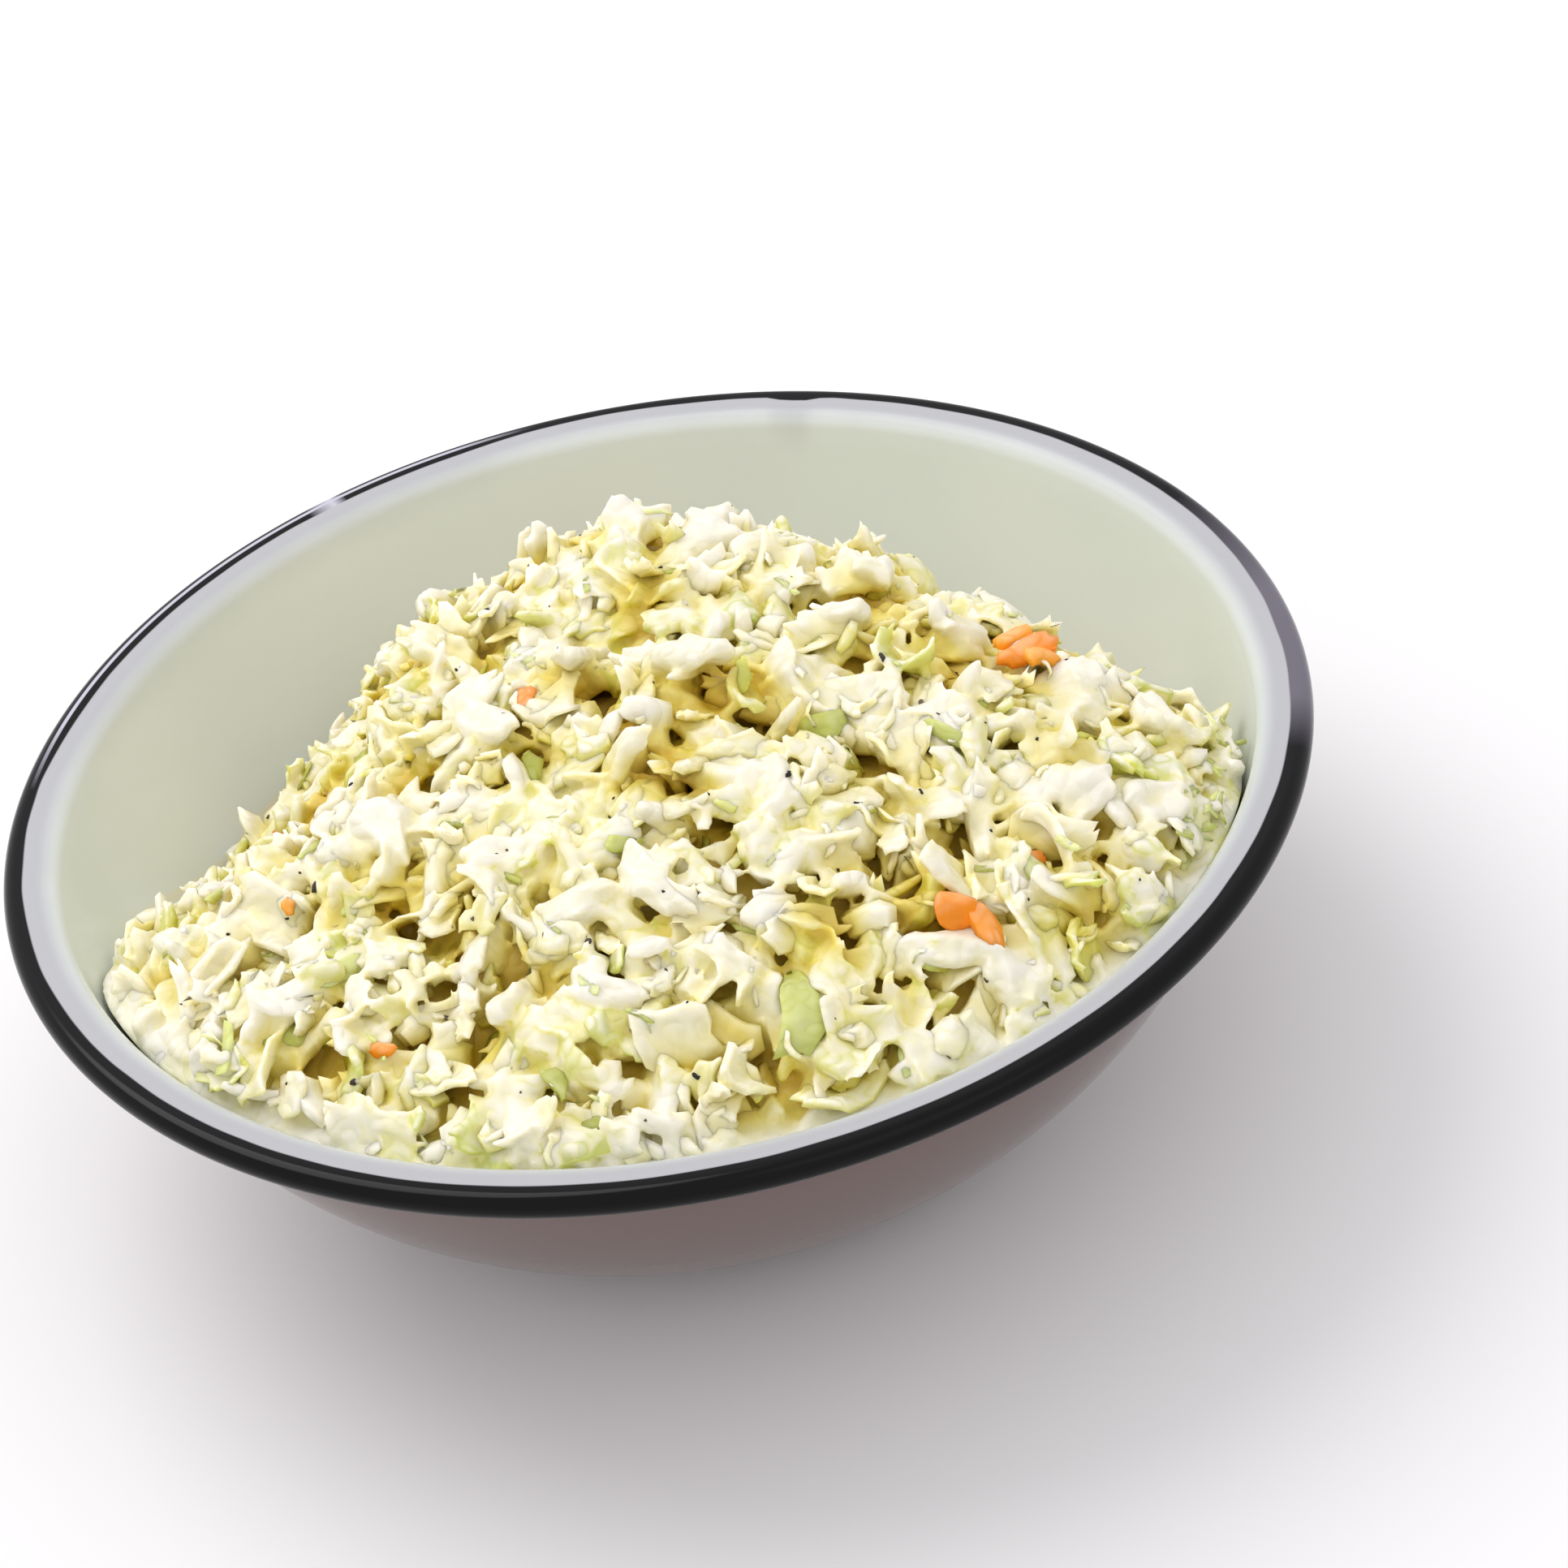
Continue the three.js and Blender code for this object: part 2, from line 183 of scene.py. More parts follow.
def heap_point(azimuth, reach):
    edge = edge_point(azimuth)
    x = PEAK[0] + (edge[..., 0] - PEAK[0]) * reach
    y = PEAK[1] + (edge[..., 1] - PEAK[1]) * reach
    held = 1 - reach**6
    rise = np.maximum(np.cos(reach * math.pi / 2), 0) ** MOUND_FULLNESS
    away = ((x - SCOOP_AT[0]) ** 2 + (y - SCOOP_AT[1]) ** 2) / SCOOP_RADIUS**2
    z = edge[..., 2] + (PEAK[2] - edge[..., 2]) * rise - SCOOP_DEPTH * np.exp(-away) * held
    z = z + (CLUMP_RELIEF * lumps(x, y, CLUMP_SIZE) + KNOB_RELIEF * lumps(x, y, KNOB_SIZE)) * held
    return np.stack([x, y, z], -1)


def heap_axes(azimuth, reach):
    """Outward, across and normal directions on the heap, each of length 1."""
    step = 0.02
    farther, nearer = np.minimum(reach + step, 1), np.maximum(reach - step, 0)
    outward = heap_point(azimuth, farther) - heap_point(azimuth, nearer)
    around = heap_point(azimuth + step, reach) - heap_point(azimuth - step, reach)
    normal = np.cross(outward, around)
    normal /= np.linalg.norm(normal, axis=-1, keepdims=True)
    outward /= np.linalg.norm(outward, axis=-1, keepdims=True)
    return np.stack([outward, np.cross(normal, outward), normal], -1)


def lowered(places):
    """How far the slaw lies below the solid's surface, in the gaps that show dark and between clumps."""
    azimuth, reach, radius, depth = (np.array(column)[:, None] for column in zip(*GAPS))
    middle = heap_point(np.radians(azimuth), reach)[:, 0]
    flat = places.reshape(1, -1, 3)
    away = ((flat[..., 0] - middle[:, :1]) ** 2 + (flat[..., 1] - middle[:, 1:2]) ** 2) / radius**2
    gaps = (depth * np.exp(-away)).sum(axis=0)
    clumps = CLUMP_STEP * (lumps(flat[0, :, 0], flat[0, :, 1], CLUMP_WIDTH, SEED + 1) + 1)
    return (gaps + clumps).reshape(places.shape[:-1])


# Meshes


def object_from(name, mesh, material, node=None):
    piece = bpy.data.objects.new(name, mesh)
    bpy.context.scene.collection.objects.link(piece)
    mesh.materials.append(material)
    for face in mesh.polygons:
        face.use_smooth = True
    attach(piece, "root")
    if node:
        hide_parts(node)


def mesh_from_bmesh(name, bm):
    bmesh.ops.scale(bm, vec=(MM, MM, MM), verts=bm.verts)
    mesh = bpy.data.meshes.new(name)
    bm.to_mesh(mesh)
    bm.free()
    return mesh


def bowl_mesh():
    section = [np.array([0.0, 0.0])] + sheet_face(0) + rolled_edge() + sheet_face(SHEET)[::-1]
    section.append(np.array([0.0, SHEET]))
    bm = bmesh.new()
    points = [bm.verts.new((r, 0, z)) for r, z in section]
    edges = [bm.edges.new(pair) for pair in zip(points, points[1:])]
    bmesh.ops.spin(
        bm, geom=points + edges, cent=(0, 0, 0), axis=(0, 0, 1), angle=2 * math.pi, steps=BOWL_TURNS,
        use_merge=True,
    )
    bmesh.ops.remove_doubles(bm, verts=bm.verts, dist=0.001)
    bmesh.ops.recalc_face_normals(bm, faces=bm.faces)
    return mesh_from_bmesh("bowl_enamel", bm)


def core_mesh(cells=150, bed_rows=6):
    """Dressed slaw under the pieces: a square grid drawn out to the heap's round edge, and closed below."""
    bm = bmesh.new()
    bmesh.ops.create_grid(bm, x_segments=cells, y_segments=cells, size=1)
    flat = np.array([v.co[:] for v in bm.verts])
    disc_x = flat[:, 0] * np.sqrt(1 - flat[:, 1] ** 2 / 2)
    disc_y = flat[:, 1] * np.sqrt(1 - flat[:, 0] ** 2 / 2)
    azimuth, reach = np.arctan2(disc_y, disc_x), np.minimum(np.hypot(disc_x, disc_y), 1)
    top = heap_point(azimuth, reach)
    top[:, 2] -= (CORE_SINK + lowered(top)) * (1 - reach**20)
    for vert, place in zip(bm.verts, top):
        vert.co = place
    loop = [e for e in bm.edges if e.is_boundary]
    for row in range(1, bed_rows + 1):
        new = bmesh.ops.extrude_edge_only(bm, edges=loop)["geom"]
        loop = [g for g in new if isinstance(g, bmesh.types.BMEdge) and g.is_boundary]
        for vert in {v for e in loop for v in e.verts}:
            azimuth = math.atan2(vert.co.y, vert.co.x)
            z = vert.co.z + (CORE_BASE - vert.co.z) * (row / bed_rows) ** 2
            r = float(inner_radius(np.array(z), BED_GAP))
            vert.co = (r * math.cos(azimuth), r * math.sin(azimuth), z)
    new = bmesh.ops.extrude_edge_only(bm, edges=loop)["geom"]
    loop = [g for g in new if isinstance(g, bmesh.types.BMEdge) and g.is_boundary]
    lowest = list({v for e in loop for v in e.verts})
    bmesh.ops.pointmerge(bm, verts=lowest, merge_co=(0, 0, CORE_BASE))
    bmesh.ops.recalc_face_normals(bm, faces=bm.faces)
    return mesh_from_bmesh("slaw_core", bm)


def dressed_mesh(name, meshes):
    """One skin over pieces that lie in each other, as the dressing holds them, with rounded creases."""
    bm = bmesh.new()
    for mesh in meshes:
        bm.from_mesh(mesh)
    heap = bpy.data.meshes.new("heap")
    bm.to_mesh(heap)
    bm.free()
    pile = bpy.data.objects.new("heap", heap)
    bpy.context.scene.collection.objects.link(pile)
    skin = pile.modifiers.new("skin", "REMESH")
    skin.mode = "VOXEL"
    skin.voxel_size = SKIN_CELL * MM
    rounded = pile.modifiers.new("rounded", "SMOOTH")
    rounded.iterations = SKIN_ROUNDING
    fewer = pile.modifiers.new("fewer", "DECIMATE")
    fewer.ratio = 1.0
    bpy.context.view_layer.update()
    first = pile.evaluated_get(bpy.context.evaluated_depsgraph_get()).to_mesh()
    triangles = len(first.loops) - 2 * len(first.polygons)
    fewer.ratio = min(1.0, SKIN_LIMIT / triangles)
    bpy.context.view_layer.update()
    mesh = bpy.data.meshes.new_from_object(pile.evaluated_get(bpy.context.evaluated_depsgraph_get()))
    mesh.name = name
    bpy.data.objects.remove(pile)
    return mesh


def points_of(mesh):
    """A mesh's points in metres, and the numbers that its attribute cut holds for each of them."""
    places = np.empty(3 * len(mesh.vertices))
    mesh.vertices.foreach_get("co", places)
    cut = np.empty(4 * len(mesh.vertices))
    if "cut" in mesh.attributes:
        mesh.attributes["cut"].data.foreach_get("color", cut)
    return places.reshape(-1, 3), cut.reshape(-1, 4)


def copy_cuts(mesh, meshes):
    """Each point of a skin takes the numbers of the nearest piece under it."""
    places, values = (np.concatenate(rows) for rows in zip(*(points_of(source) for source in meshes)))
    tree = KDTree(len(places))
    for index, place in enumerate(places.tolist()):
        tree.insert(place, index)
    tree.balance()
    nearest = [tree.find(vert.co)[1] for vert in mesh.vertices]
    cut = mesh.attributes.new("cut", "FLOAT_COLOR", "POINT")
    cut.data.foreach_set("color", values[nearest].ravel())


def blurred(grid, radius):
    """A grid's running mean over so many cells each way, taken twice."""
    steps = range(-radius, radius + 1)
    for axis in (0, 1, 0, 1):
        grid = sum(np.roll(grid, step, axis) for step in steps) / len(steps)
    return grid


def slaw_crests(meshes):
    """The slaw's mean height on a grid of 1 mm cells, and how far the pieces round a cell rise above it."""
    side = 2 * int(RIM_RADIUS) + 1
    top = np.zeros((side, side))
    for mesh in meshes:
        places = points_of(mesh)[0] / MM
        cell = np.rint(places[:, :2]).astype(int) + side // 2
        np.maximum.at(top, tuple(cell.T), places[:, 2])
    there = (top > 0).astype(float)
    mean = blurred(top, MEAN_REACH) / np.maximum(blurred(there, MEAN_REACH), 0.02)
    rise = np.where(there > 0, top - mean, -10)
    around = range(-CREST_REACH, CREST_REACH + 1)
    shifts = [(i, j) for i in around for j in around if i * i + j * j <= CREST_REACH**2]
    crests = np.max([np.roll(rise, shift, (0, 1)) for shift in shifts], axis=0)
    return mean, blurred(crests, 2)


def note_depth(mesh, mean, crests):
    """Each point's depth below the crests goes into the green of the mesh's attribute cut, as 0 to 1."""
    places, cut = points_of(mesh)
    places = places / MM
    cell = tuple((np.rint(places[:, :2]).astype(int) + len(mean) // 2).T)
    depth = crests[cell] + mean[cell] - places[:, 2]
    from_wall = inner_radius(places[:, 2], 0) - np.hypot(places[:, 0], places[:, 1])
    shown = WALL_CREASE_SHADE + (1 - WALL_CREASE_SHADE) * smoothstep(from_wall / WALL_FADE)
    # the depth below the crests is for painted shade in the creases, with less of it near the enamel
    cut[:, 1] = np.clip(depth, 0, CREASE_SHADE_DEPTH) / CREASE_SHADE_DEPTH * shown
    mesh.attributes["cut"].data.foreach_set("color", cut.ravel())


# Chopped pieces. Each kind starts from one small slab, and every piece of it is warped and bent on its own.


def slab(columns, rows):
    """A slab of side 1 about the origin, as its points and its faces."""
    bm = bmesh.new()
    bmesh.ops.create_grid(bm, x_segments=columns, y_segments=rows, size=0.5)
    bmesh.ops.solidify(bm, geom=bm.faces[:], thickness=1.0)
    bmesh.ops.recalc_face_normals(bm, faces=bm.faces)
    bm.verts.index_update()
    points = np.array([v.co[:] for v in bm.verts])
    faces = [[v.index for v in f.verts] for f in bm.faces]
    bm.free()
    points[:, 2] -= points[:, 2].mean()
    points[:, 2] /= np.ptp(points[:, 2])
    return points, faces


def arc(along, up, bend):
    """Points bent round in the plane of along and up, by bend in radians for each millimetre."""
    bend = np.where(np.abs(bend) < 1e-5, 1e-5, bend)
    radius = 1 / bend - up
    return np.sin(along * bend) * radius, 1 / bend - np.cos(along * bend) * radius


def shape(points, draw, size, curl, cup, sway, ragged, thin, rumple, point=0.0):
    """Warped and bent copies of a slab: count by points by 3, with each piece about its own origin.

    Size, curl, cup and sway have a row for each piece; ragged, thin, rumple and point, which is how far the
    pieces narrow towards their tips, are the same for all of them.
    """
    count = len(size)
    u, v, w = (np.broadcast_to(points[:, k], (count, len(points))) for k in range(3))
    length, width, thick = size.T[..., None]
    corner = ragged * draw.uniform(-1, 1, size=(count, 4, 2))
    blend = [(0.5 - u) * (0.5 - v), (0.5 + u) * (0.5 - v), (0.5 + u) * (0.5 + v), (0.5 - u) * (0.5 + v)]
    shift = np.einsum("npc,nck->npk", np.stack(blend, -1), corner)
    waves = np.stack([9 * v + 7 * u, 8 * u - 6 * v], -1) + draw.uniform(0, 6, (count, 1, 2))
    nick = 0.35 * ragged * np.sin(waves)
    edge = np.maximum(np.abs(2 * u), np.abs(2 * v))
    round_off = 1 - 0.16 * np.abs(2 * u) ** 3 * np.abs(2 * v) ** 3
    x = length * (u * round_off + shift[..., 0] + nick[..., 0] * (edge > 0.9))
    y = width * (v * round_off + shift[..., 1] + nick[..., 1] * (edge > 0.9)) * (1 - point * (u + 0.5) ** 2)
    z = thick * w * (1 - thin * edge**3)
    turn, wave = draw.uniform(-1, 1, (2, count, 1)), draw.uniform(0, 6, (2, count, 1))
    z = z + rumple * width * np.sin(5 * u + 4 * turn[0] * v + wave[0])
    z = z + 0.6 * rumple * width * np.sin(9 * v + 6 * turn[1] * u + wave[1])
    x, z = arc(x, z, curl[:, None])
    y, z = arc(y, z, cup[:, None])
    x, y = arc(x, y, sway[:, None])
    return np.stack([x, y, z], -1)


def turned(heading, pitch, roll):
    """Rotations, one for each piece, from angles in radians."""
    ch, sh, cp, sp, cr, sr = (f(a) for a in (heading, pitch, roll) for f in (np.cos, np.sin))
    zero, one = np.zeros_like(ch), np.ones_like(ch)
    about_z = np.stack([ch, -sh, zero, sh, ch, zero, zero, zero, one], -1).reshape(-1, 3, 3)
    about_y = np.stack([cp, zero, -sp, zero, one, zero, sp, zero, cp], -1).reshape(-1, 3, 3)
    about_x = np.stack([one, zero, zero, zero, cr, -sr, zero, sr, cr], -1).reshape(-1, 3, 3)
    return about_z @ about_y @ about_x


def kept_in_bowl(places):
    """Pieces moved in towards the axis, as far as they need to clear the enamel."""
    for _ in range(3):
        r = np.hypot(places[..., 0], places[..., 1])
        over = (r - inner_radius(places[..., 2], WALL_CLEARANCE)).max(axis=1)
        middle = places.mean(axis=1)
        away = middle[:, :2] / (np.hypot(middle[:, 0], middle[:, 1])[:, None] + 1e-6)
        places[..., :2] -= (np.maximum(over, 0)[:, None] * away)[:, None, :]
    return places


def laid(shapes, azimuth, reach, lift, heading, pitch, roll):
    """Pieces turned and laid on the heap, lift millimetres above its surface."""
    axes = heap_axes(azimuth, reach)
    at = heap_point(azimuth, reach)
    at = at + axes[..., 2] * (lift - lowered(at))[:, None]
    turn = axes @ turned(heading, pitch, roll)
    return kept_in_bowl(np.einsum("nij,npj->npi", turn, shapes) + at[:, None, :])


def joined_mesh(name, places, faces, tints):
    """One mesh of many pieces, with the attribute cut holding each piece's own numbers."""
    count, size = places.shape[:2]
    mesh = bpy.data.meshes.new(name)
    corners = np.array([c for f in faces for c in f])
    sides = np.array([len(f) for f in faces])
    loops = (corners[None, :] + size * np.arange(count)[:, None]).ravel()
    totals = np.tile(sides, count)
    starts = np.concatenate([[0], np.cumsum(totals)[:-1]])
    mesh.vertices.add(count * size)
    mesh.vertices.foreach_set("co", (places * MM).ravel())
    mesh.loops.add(len(loops))
    mesh.loops.foreach_set("vertex_index", loops)
    mesh.polygons.add(len(totals))
    mesh.polygons.foreach_set("loop_start", starts)
    mesh.update(calc_edges=True)
    cut = mesh.attributes.new("cut", "FLOAT_COLOR", "POINT")
    values = np.repeat(np.c_[tints, np.ones(count)], size, axis=0)
    cut.data.foreach_set("color", values.ravel())
    return mesh


def spread_over(count, start, draw):
    """Directions and reaches of evenly spread places on the heap."""
    order = np.arange(count)
    azimuth = order * GOLDEN_ANGLE + start + 0.1 * draw.normal(size=count)
    reach = np.sqrt((order + 0.5) / count) + 0.012 * draw.normal(size=count)
    return azimuth, np.clip(reach, 0, 0.985)


KINDS = {
    "leaf_bits": {
        "held": 700, "loose": 320, "parts": (5, 4), "size": (10.5, 7.8, 1.9), "spread": 0.28,
        "curl": 0.07, "cup": 0.12, "sway": 0.03, "ragged": 0.3, "thin": 0.6, "rumple": 0.09, "point": 0.3,
        "lift": (-3.0, 2.2), "pitch": (0.25, 0.4), "lean": 0.4,
    },
    "ribbons": {
        "held": 150, "loose": 70, "parts": (7, 2), "size": (13.0, 5.0, 2.4), "spread": 0.24,
        "curl": 0.06, "cup": 0.12, "sway": 0.05, "ragged": 0.16, "thin": 0.5, "rumple": 0.08, "point": 0.2,
        "lift": (-2.2, 2.2), "pitch": (0.1, 0.35), "lean": 0.4,
    },
    "rib_chunks": {
        "held": 440, "loose": 110, "parts": (4, 3), "size": (8.2, 6.2, 4.2), "spread": 0.26,
        "curl": 0.03, "cup": 0.05, "sway": 0.03, "ragged": 0.26, "thin": 0.4, "rumple": 0.05, "point": 0.2,
        "lift": (-3.0, 1.6), "pitch": (0.2, 0.4), "lean": 0.5,
    },
    "shreds": {
        "held": 360, "loose": 120, "parts": (6, 2), "size": (8.0, 2.6, 1.7), "spread": 0.26,
        "curl": 0.06, "cup": 0.08, "sway": 0.06, "ragged": 0.14, "thin": 0.5, "rumple": 0.1, "point": 0.3,
        "lift": (-1.6, 1.6), "pitch": (0.2, 0.35), "lean": 0.4,
    },
    "small_chips": {
        "held": 900, "loose": 260, "parts": (3, 3), "size": (5.2, 4.2, 2.0), "spread": 0.28,
        "curl": 0.07, "cup": 0.1, "sway": 0.03, "ragged": 0.3, "thin": 0.5, "rumple": 0.08, "point": 0.2,
        "lift": (-2.0, 1.4), "pitch": (0.2, 0.4), "lean": 0.5,
    },
}

# Gaps in the slaw: direction in degrees, reach, radius and depth
GAPS = [
    (250, 0.25, 6, 6), (309, 0.72, 6, 6), (239, 0.87, 5, 4), (278, 0.94, 4, 3), (260, 0.12, 4, 3),
    (243, 0.36, 5, 4), (291, 0.63, 5, 4), (305, 0.55, 4, 3), (229, 0.66, 5, 4), (217, 0.79, 5, 4),
    (255, 0.77, 4, 3), (326, 0.98, 4, 4), (199, 0.76, 24, 8), (198, 0.57, 12, 4), (60, 0.5, 6, 4),
    (120, 0.6, 6, 4), (25, 0.62, 5, 4), (85, 0.75, 5, 4), (160, 0.75, 5, 4), (280, 0.82, 4, 3),
]

# Large leaves and lumps that stand out: direction in degrees, reach, size, heading, pitch and roll in
# degrees, lift, and how far they curl and cup
FOLDED = [
    (92, 0.24, (17, 13, 10), 80, 6, 0, 5.2, 0.03, 0.05),  # the crown
    (48, 0.19, (23, 13, 7.0), 172, -3, 4, 1.6, 0.015, 0.03),
    (120, 0.31, (14, 7.5, 3.6), 170, 66, 0, 4.4, 0.02, 0.1),  # a sliver standing on the left of the crown
    (221, 0.57, (20, 13, 7.0), 60, 5, 0, 2.6, 0.04, 0.07),
    (283, 0.24, (20, 14, 7.0), 20, 8, 4, 3.0, 0.05, 0.06),
    (343, 0.86, (19, 9, 5.0), 110, 0, 0, 2.6, 0.04, 0.08),
    (8, 0.44, (20, 12, 6.0), 60, 4, 0, 2.8, 0.03, 0.05),
    (169, 0.38, (17, 12, 5.5), 150, -8, 6, 2.6, 0.05, 0.08),
    (227, 0.18, (17, 11, 5.0), 30, 10, -6, 2.6, 0.06, 0.09),
    (255, 0.65, (18, 12, 6.0), 100, -6, 8, 2.4, 0.05, 0.07),
    (289, 0.5, (19, 14, 6.0), 140, 8, 4, 2.8, 0.05, 0.09),
    (314, 0.70, (21, 6.5, 4.0), 140, -4, 0, 2.6, 0.06, 0.05),
    (325, 0.8, (16, 12, 5.0), 80, 6, 6, 2.4, 0.05, 0.08),
    (349, 0.54, (20, 8, 4.6), 30, -6, 8, 2.6, 0.05, 0.07),
    (338, 0.72, (16, 8, 4.6), 20, 8, -8, 2.2, 0.05, 0.06),
    (264, 0.41, (15, 8, 4.2), 100, 18, 0, 2.8, 0.05, 0.07),
    (241, 0.57, (15, 10, 4.6), 120, -8, 6, 2.4, 0.05, 0.09),
    (266, 0.63, (16, 10, 5.0), 30, 6, -4, 2.4, 0.05, 0.08),
    (207, 0.7, (16, 10, 5.2), 10, 6, 6, 2.2, 0.05, 0.07),
    (261, 0.78, (13, 9, 5.0), 70, 6, 0, 2.2, 0.05, 0.08),
    (298, 0.86, (14, 10, 4.6), 60, 6, -4, 2.2, 0.05, 0.08),
    (329, 0.91, (12, 9, 4.6), 60, 6, -4, 1.6, 0.05, 0.14),
    (302, 0.93, (13, 9, 4.6), 0, 6, -4, 1.2, 0.05, 0.08),
    (224, 0.36, (15, 8.5, 4.4), 70, 10, 10, 2.8, 0.05, 0.04),
    (150, 0.6, (15, 10, 5.0), 70, 6, 0, 2.0, 0.05, 0.08),
    (75, 0.5, (16, 11, 5.4), 30, 6, 0, 2.0, 0.05, 0.08),
    (110, 0.66, (15, 10, 5.0), 90, -6, 0, 2.0, 0.05, 0.08),
    (40, 0.7, (15, 10, 5.0), 140, 6, 0, 2.0, 0.05, 0.08),
    (190, 0.6, (15, 10, 5.0), 140, 6, 0, 2.0, 0.05, 0.08),
    (15, 0.75, (15, 9, 5.0), 100, 6, 0, 2.0, 0.05, 0.08),
]

# Grated carrot that shows: direction, reach, size, heading
CARROT = [
    (344.6, 0.65, (9.6, 4.2, 3.4), 50), (343.4, 0.67, (8.6, 4.0, 3.2), 54),
    (345.8, 0.63, (7.2, 3.6, 3.0), 47), (300.5, 0.825, (7.6, 5.4, 3.4), 148),
    (302, 0.865, (8.6, 4.6, 3.2), 165), (313, 0.82, (5.4, 3.6, 2.6), 70),
    (223, 0.28, (4.2, 3.0, 1.6), 30), (237, 0.87, (4.6, 2.8, 1.8), 80),
    (214, 0.74, (3.6, 2.4, 1.6), 10), (98, 0.8, (6.5, 3.2, 2.4), 60),
    (60, 0.58, (5.5, 3.0, 2.2), 150), (20, 0.8, (5.0, 3.0, 2.0), 90),
    (165, 0.8, (5.0, 3.0, 2.0), 20), (88, 0.85, (6.0, 3.0, 2.0), 110),
]
LONG_SHRED = 7.0  # longer ones lie on the slaw, shorter ones in it

# Green outer leaf that shows: direction, reach, size, heading and how green it is
GREENS = [
    (308, 0.43, (10.0, 6.5, 2.6), 110, 0.7), (281.5, 0.86, (20.0, 8.5, 1.4), 172, 0.6),
    (227, 0.89, (10.0, 7.5, 3.0), 100, 0.5), (261, 0.95, (7.0, 4.0, 1.6), 60, 0.9),
    (228, 0.77, (15.0, 4.5, 1.6), 160, 0.3), (248, 0.81, (12.0, 6.0, 2.2), 150, 0.4),
    (263, 0.56, (9.0, 3.4, 1.6), 120, 0.6), (158, 0.52, (7.0, 5.0, 2.0), 40, 0.5),
    (187, 0.52, (6.5, 4.5, 2.0), 90, 0.6), (257, 0.9, (8.0, 3.2, 1.4), 20, 0.8),
    (240, 0.4, (7.0, 4.5, 1.4), 20, 0.8), (300, 0.3, (10.0, 3.0, 1.4), 150, 0.35),
    (335, 0.3, (11.0, 3.2, 1.4), 10, 0.35), (320, 0.62, (12, 3, 1.4), 0, 0.6),
    (100, 0.72, (9.0, 5.0, 1.6), 20, 0.6), (45, 0.5, (8.0, 4.0, 1.6), 70, 0.7),
    (195, 0.8, (9.0, 4.0, 1.6), 70, 0.5),
]
STANDING_LEAF = 15.0  # longer ones stand up at one end
SLIVERS = 90  # of green leaf, all over the heap
SLIVER_SIZE = (5.5, 1.1, 0.7)
WALL_SLIVERS = 45  # where the slaw thins out against the right of the bowl
WALL_DIRECTIONS = (326, 352)
WALL_REACHES = (0.93, 0.995)

# Ground pepper that shows one by one: direction and reach; the rest is finer and lies anywhere
PEPPER = [
    (45, 0.06), (160, 0.32), (340, 0.33), (329, 0.44), (325, 0.53), (323, 0.57), (339, 0.54), (203, 0.42),
    (310, 0.63), (215, 0.70), (244, 0.56), (236, 0.92), (270, 0.91), (293, 0.53), (328, 0.71), (259, 0.71),
]
FINE_PEPPER = 110
PEPPER_SIZE = (0.75, 0.6, 0.5)
COARSE_PEPPER = 1.7  # the listed ones against the fine ones


# Materials

INSIDE_COAT = ("#DFE6E2", "#E4EAE6")
# painted shade: a dark brown grey for the outside's white enamel in shadow
OUTSIDE_PAINTED_SHADE = "#70615E"
BLACK_COAT = "#030304"
# painted reflection: a lilac grey for a window reflected in the black band at the right
REFLECTION_GREY = "#8E8996"
# the pale of the painted reflection along the black band at the far left, and of the spot worn bare there
REFLECTION_AND_WEAR_PALE = "#C2C1CC"
# painted shade: a grey for the white lip in shade
LIP_PAINTED_SHADE = "#B3B4B7"
FILM = "#EDE5C8"
CREAM = "#F1EDE0"

# Wear of the enamel and painted reflections on its black band, each by the directions in degrees where it
# starts, is full, is last full and ends
CHIP = (67.2, 68.6, 71.4, 72.6)
# painted reflection: a pale stripe along the black band at the far left
PAINTED_REFLECTION_LINE = (98, 106, 160, 170)
BARE_SPOT = (118.8, 119.1, 120.8, 121.1)
# where the black band at the right carries the painted reflection
REFLECTION_AT_RIGHT = (-18, -11, 6, 24)
SMEARED = (122, 134, 165, 178)
BLACK_FROM = (116.1, 116.4)  # radii where the white ends and the black is full
CHIP_WIDENS = 1.0  # how much farther in the black starts
LINE_WIDENS = 0.7
FILM_TOP = (8.6, 7.9)  # above the slaw, where the film starts and is full

# Sizes of the unevenness in the enamel and of the relief on the slaw
WAVER = 14.0
CLOUD = 40.0
RIPPLE = 9.0
GRAIN = 2.4
PILLOW = 3.4
PATCH = 5.0


def add_node(tree, kind, links=None, stops=(), **settings):
    """A node with its settings and its ramp's stops, and its inputs set to values or linked to outputs."""
    node = tree.nodes.new(kind)
    for name, value in settings.items():
        setattr(node, name, value)
    for index, (place, code) in enumerate(stops):
        if index >= len(node.color_ramp.elements):
            node.color_ramp.elements.new(place)
        node.color_ramp.elements[index].position = place
        node.color_ramp.elements[index].color = linear(code)
    for name, value in (links or {}).items():
        socket = node.inputs[name]
        if isinstance(value, bpy.types.NodeSocket):
            tree.links.new(value, socket)
        else:
            socket.default_value = value
    return node


def new_material(name, **sockets):
    """A material with its shader's own sockets set: its nodes' tree and its shader come with it."""
    material = bpy.data.materials.new(name)
    material.use_nodes = True
    tree = material.node_tree
    shader = next(n for n in tree.nodes if n.type == "BSDF_PRINCIPLED")
    for socket, value in sockets.items():
        shader.inputs[socket.replace("_", " ")].default_value = value
    return material, tree, shader


def around(degrees):
    """A ramp's stops, white between the middle two of four directions and black beyond the others."""
    codes = ("#000000", "#FFFFFF", "#FFFFFF", "#000000")
    return [(0.5 + angle / 360, code) for angle, code in zip(degrees, codes)]


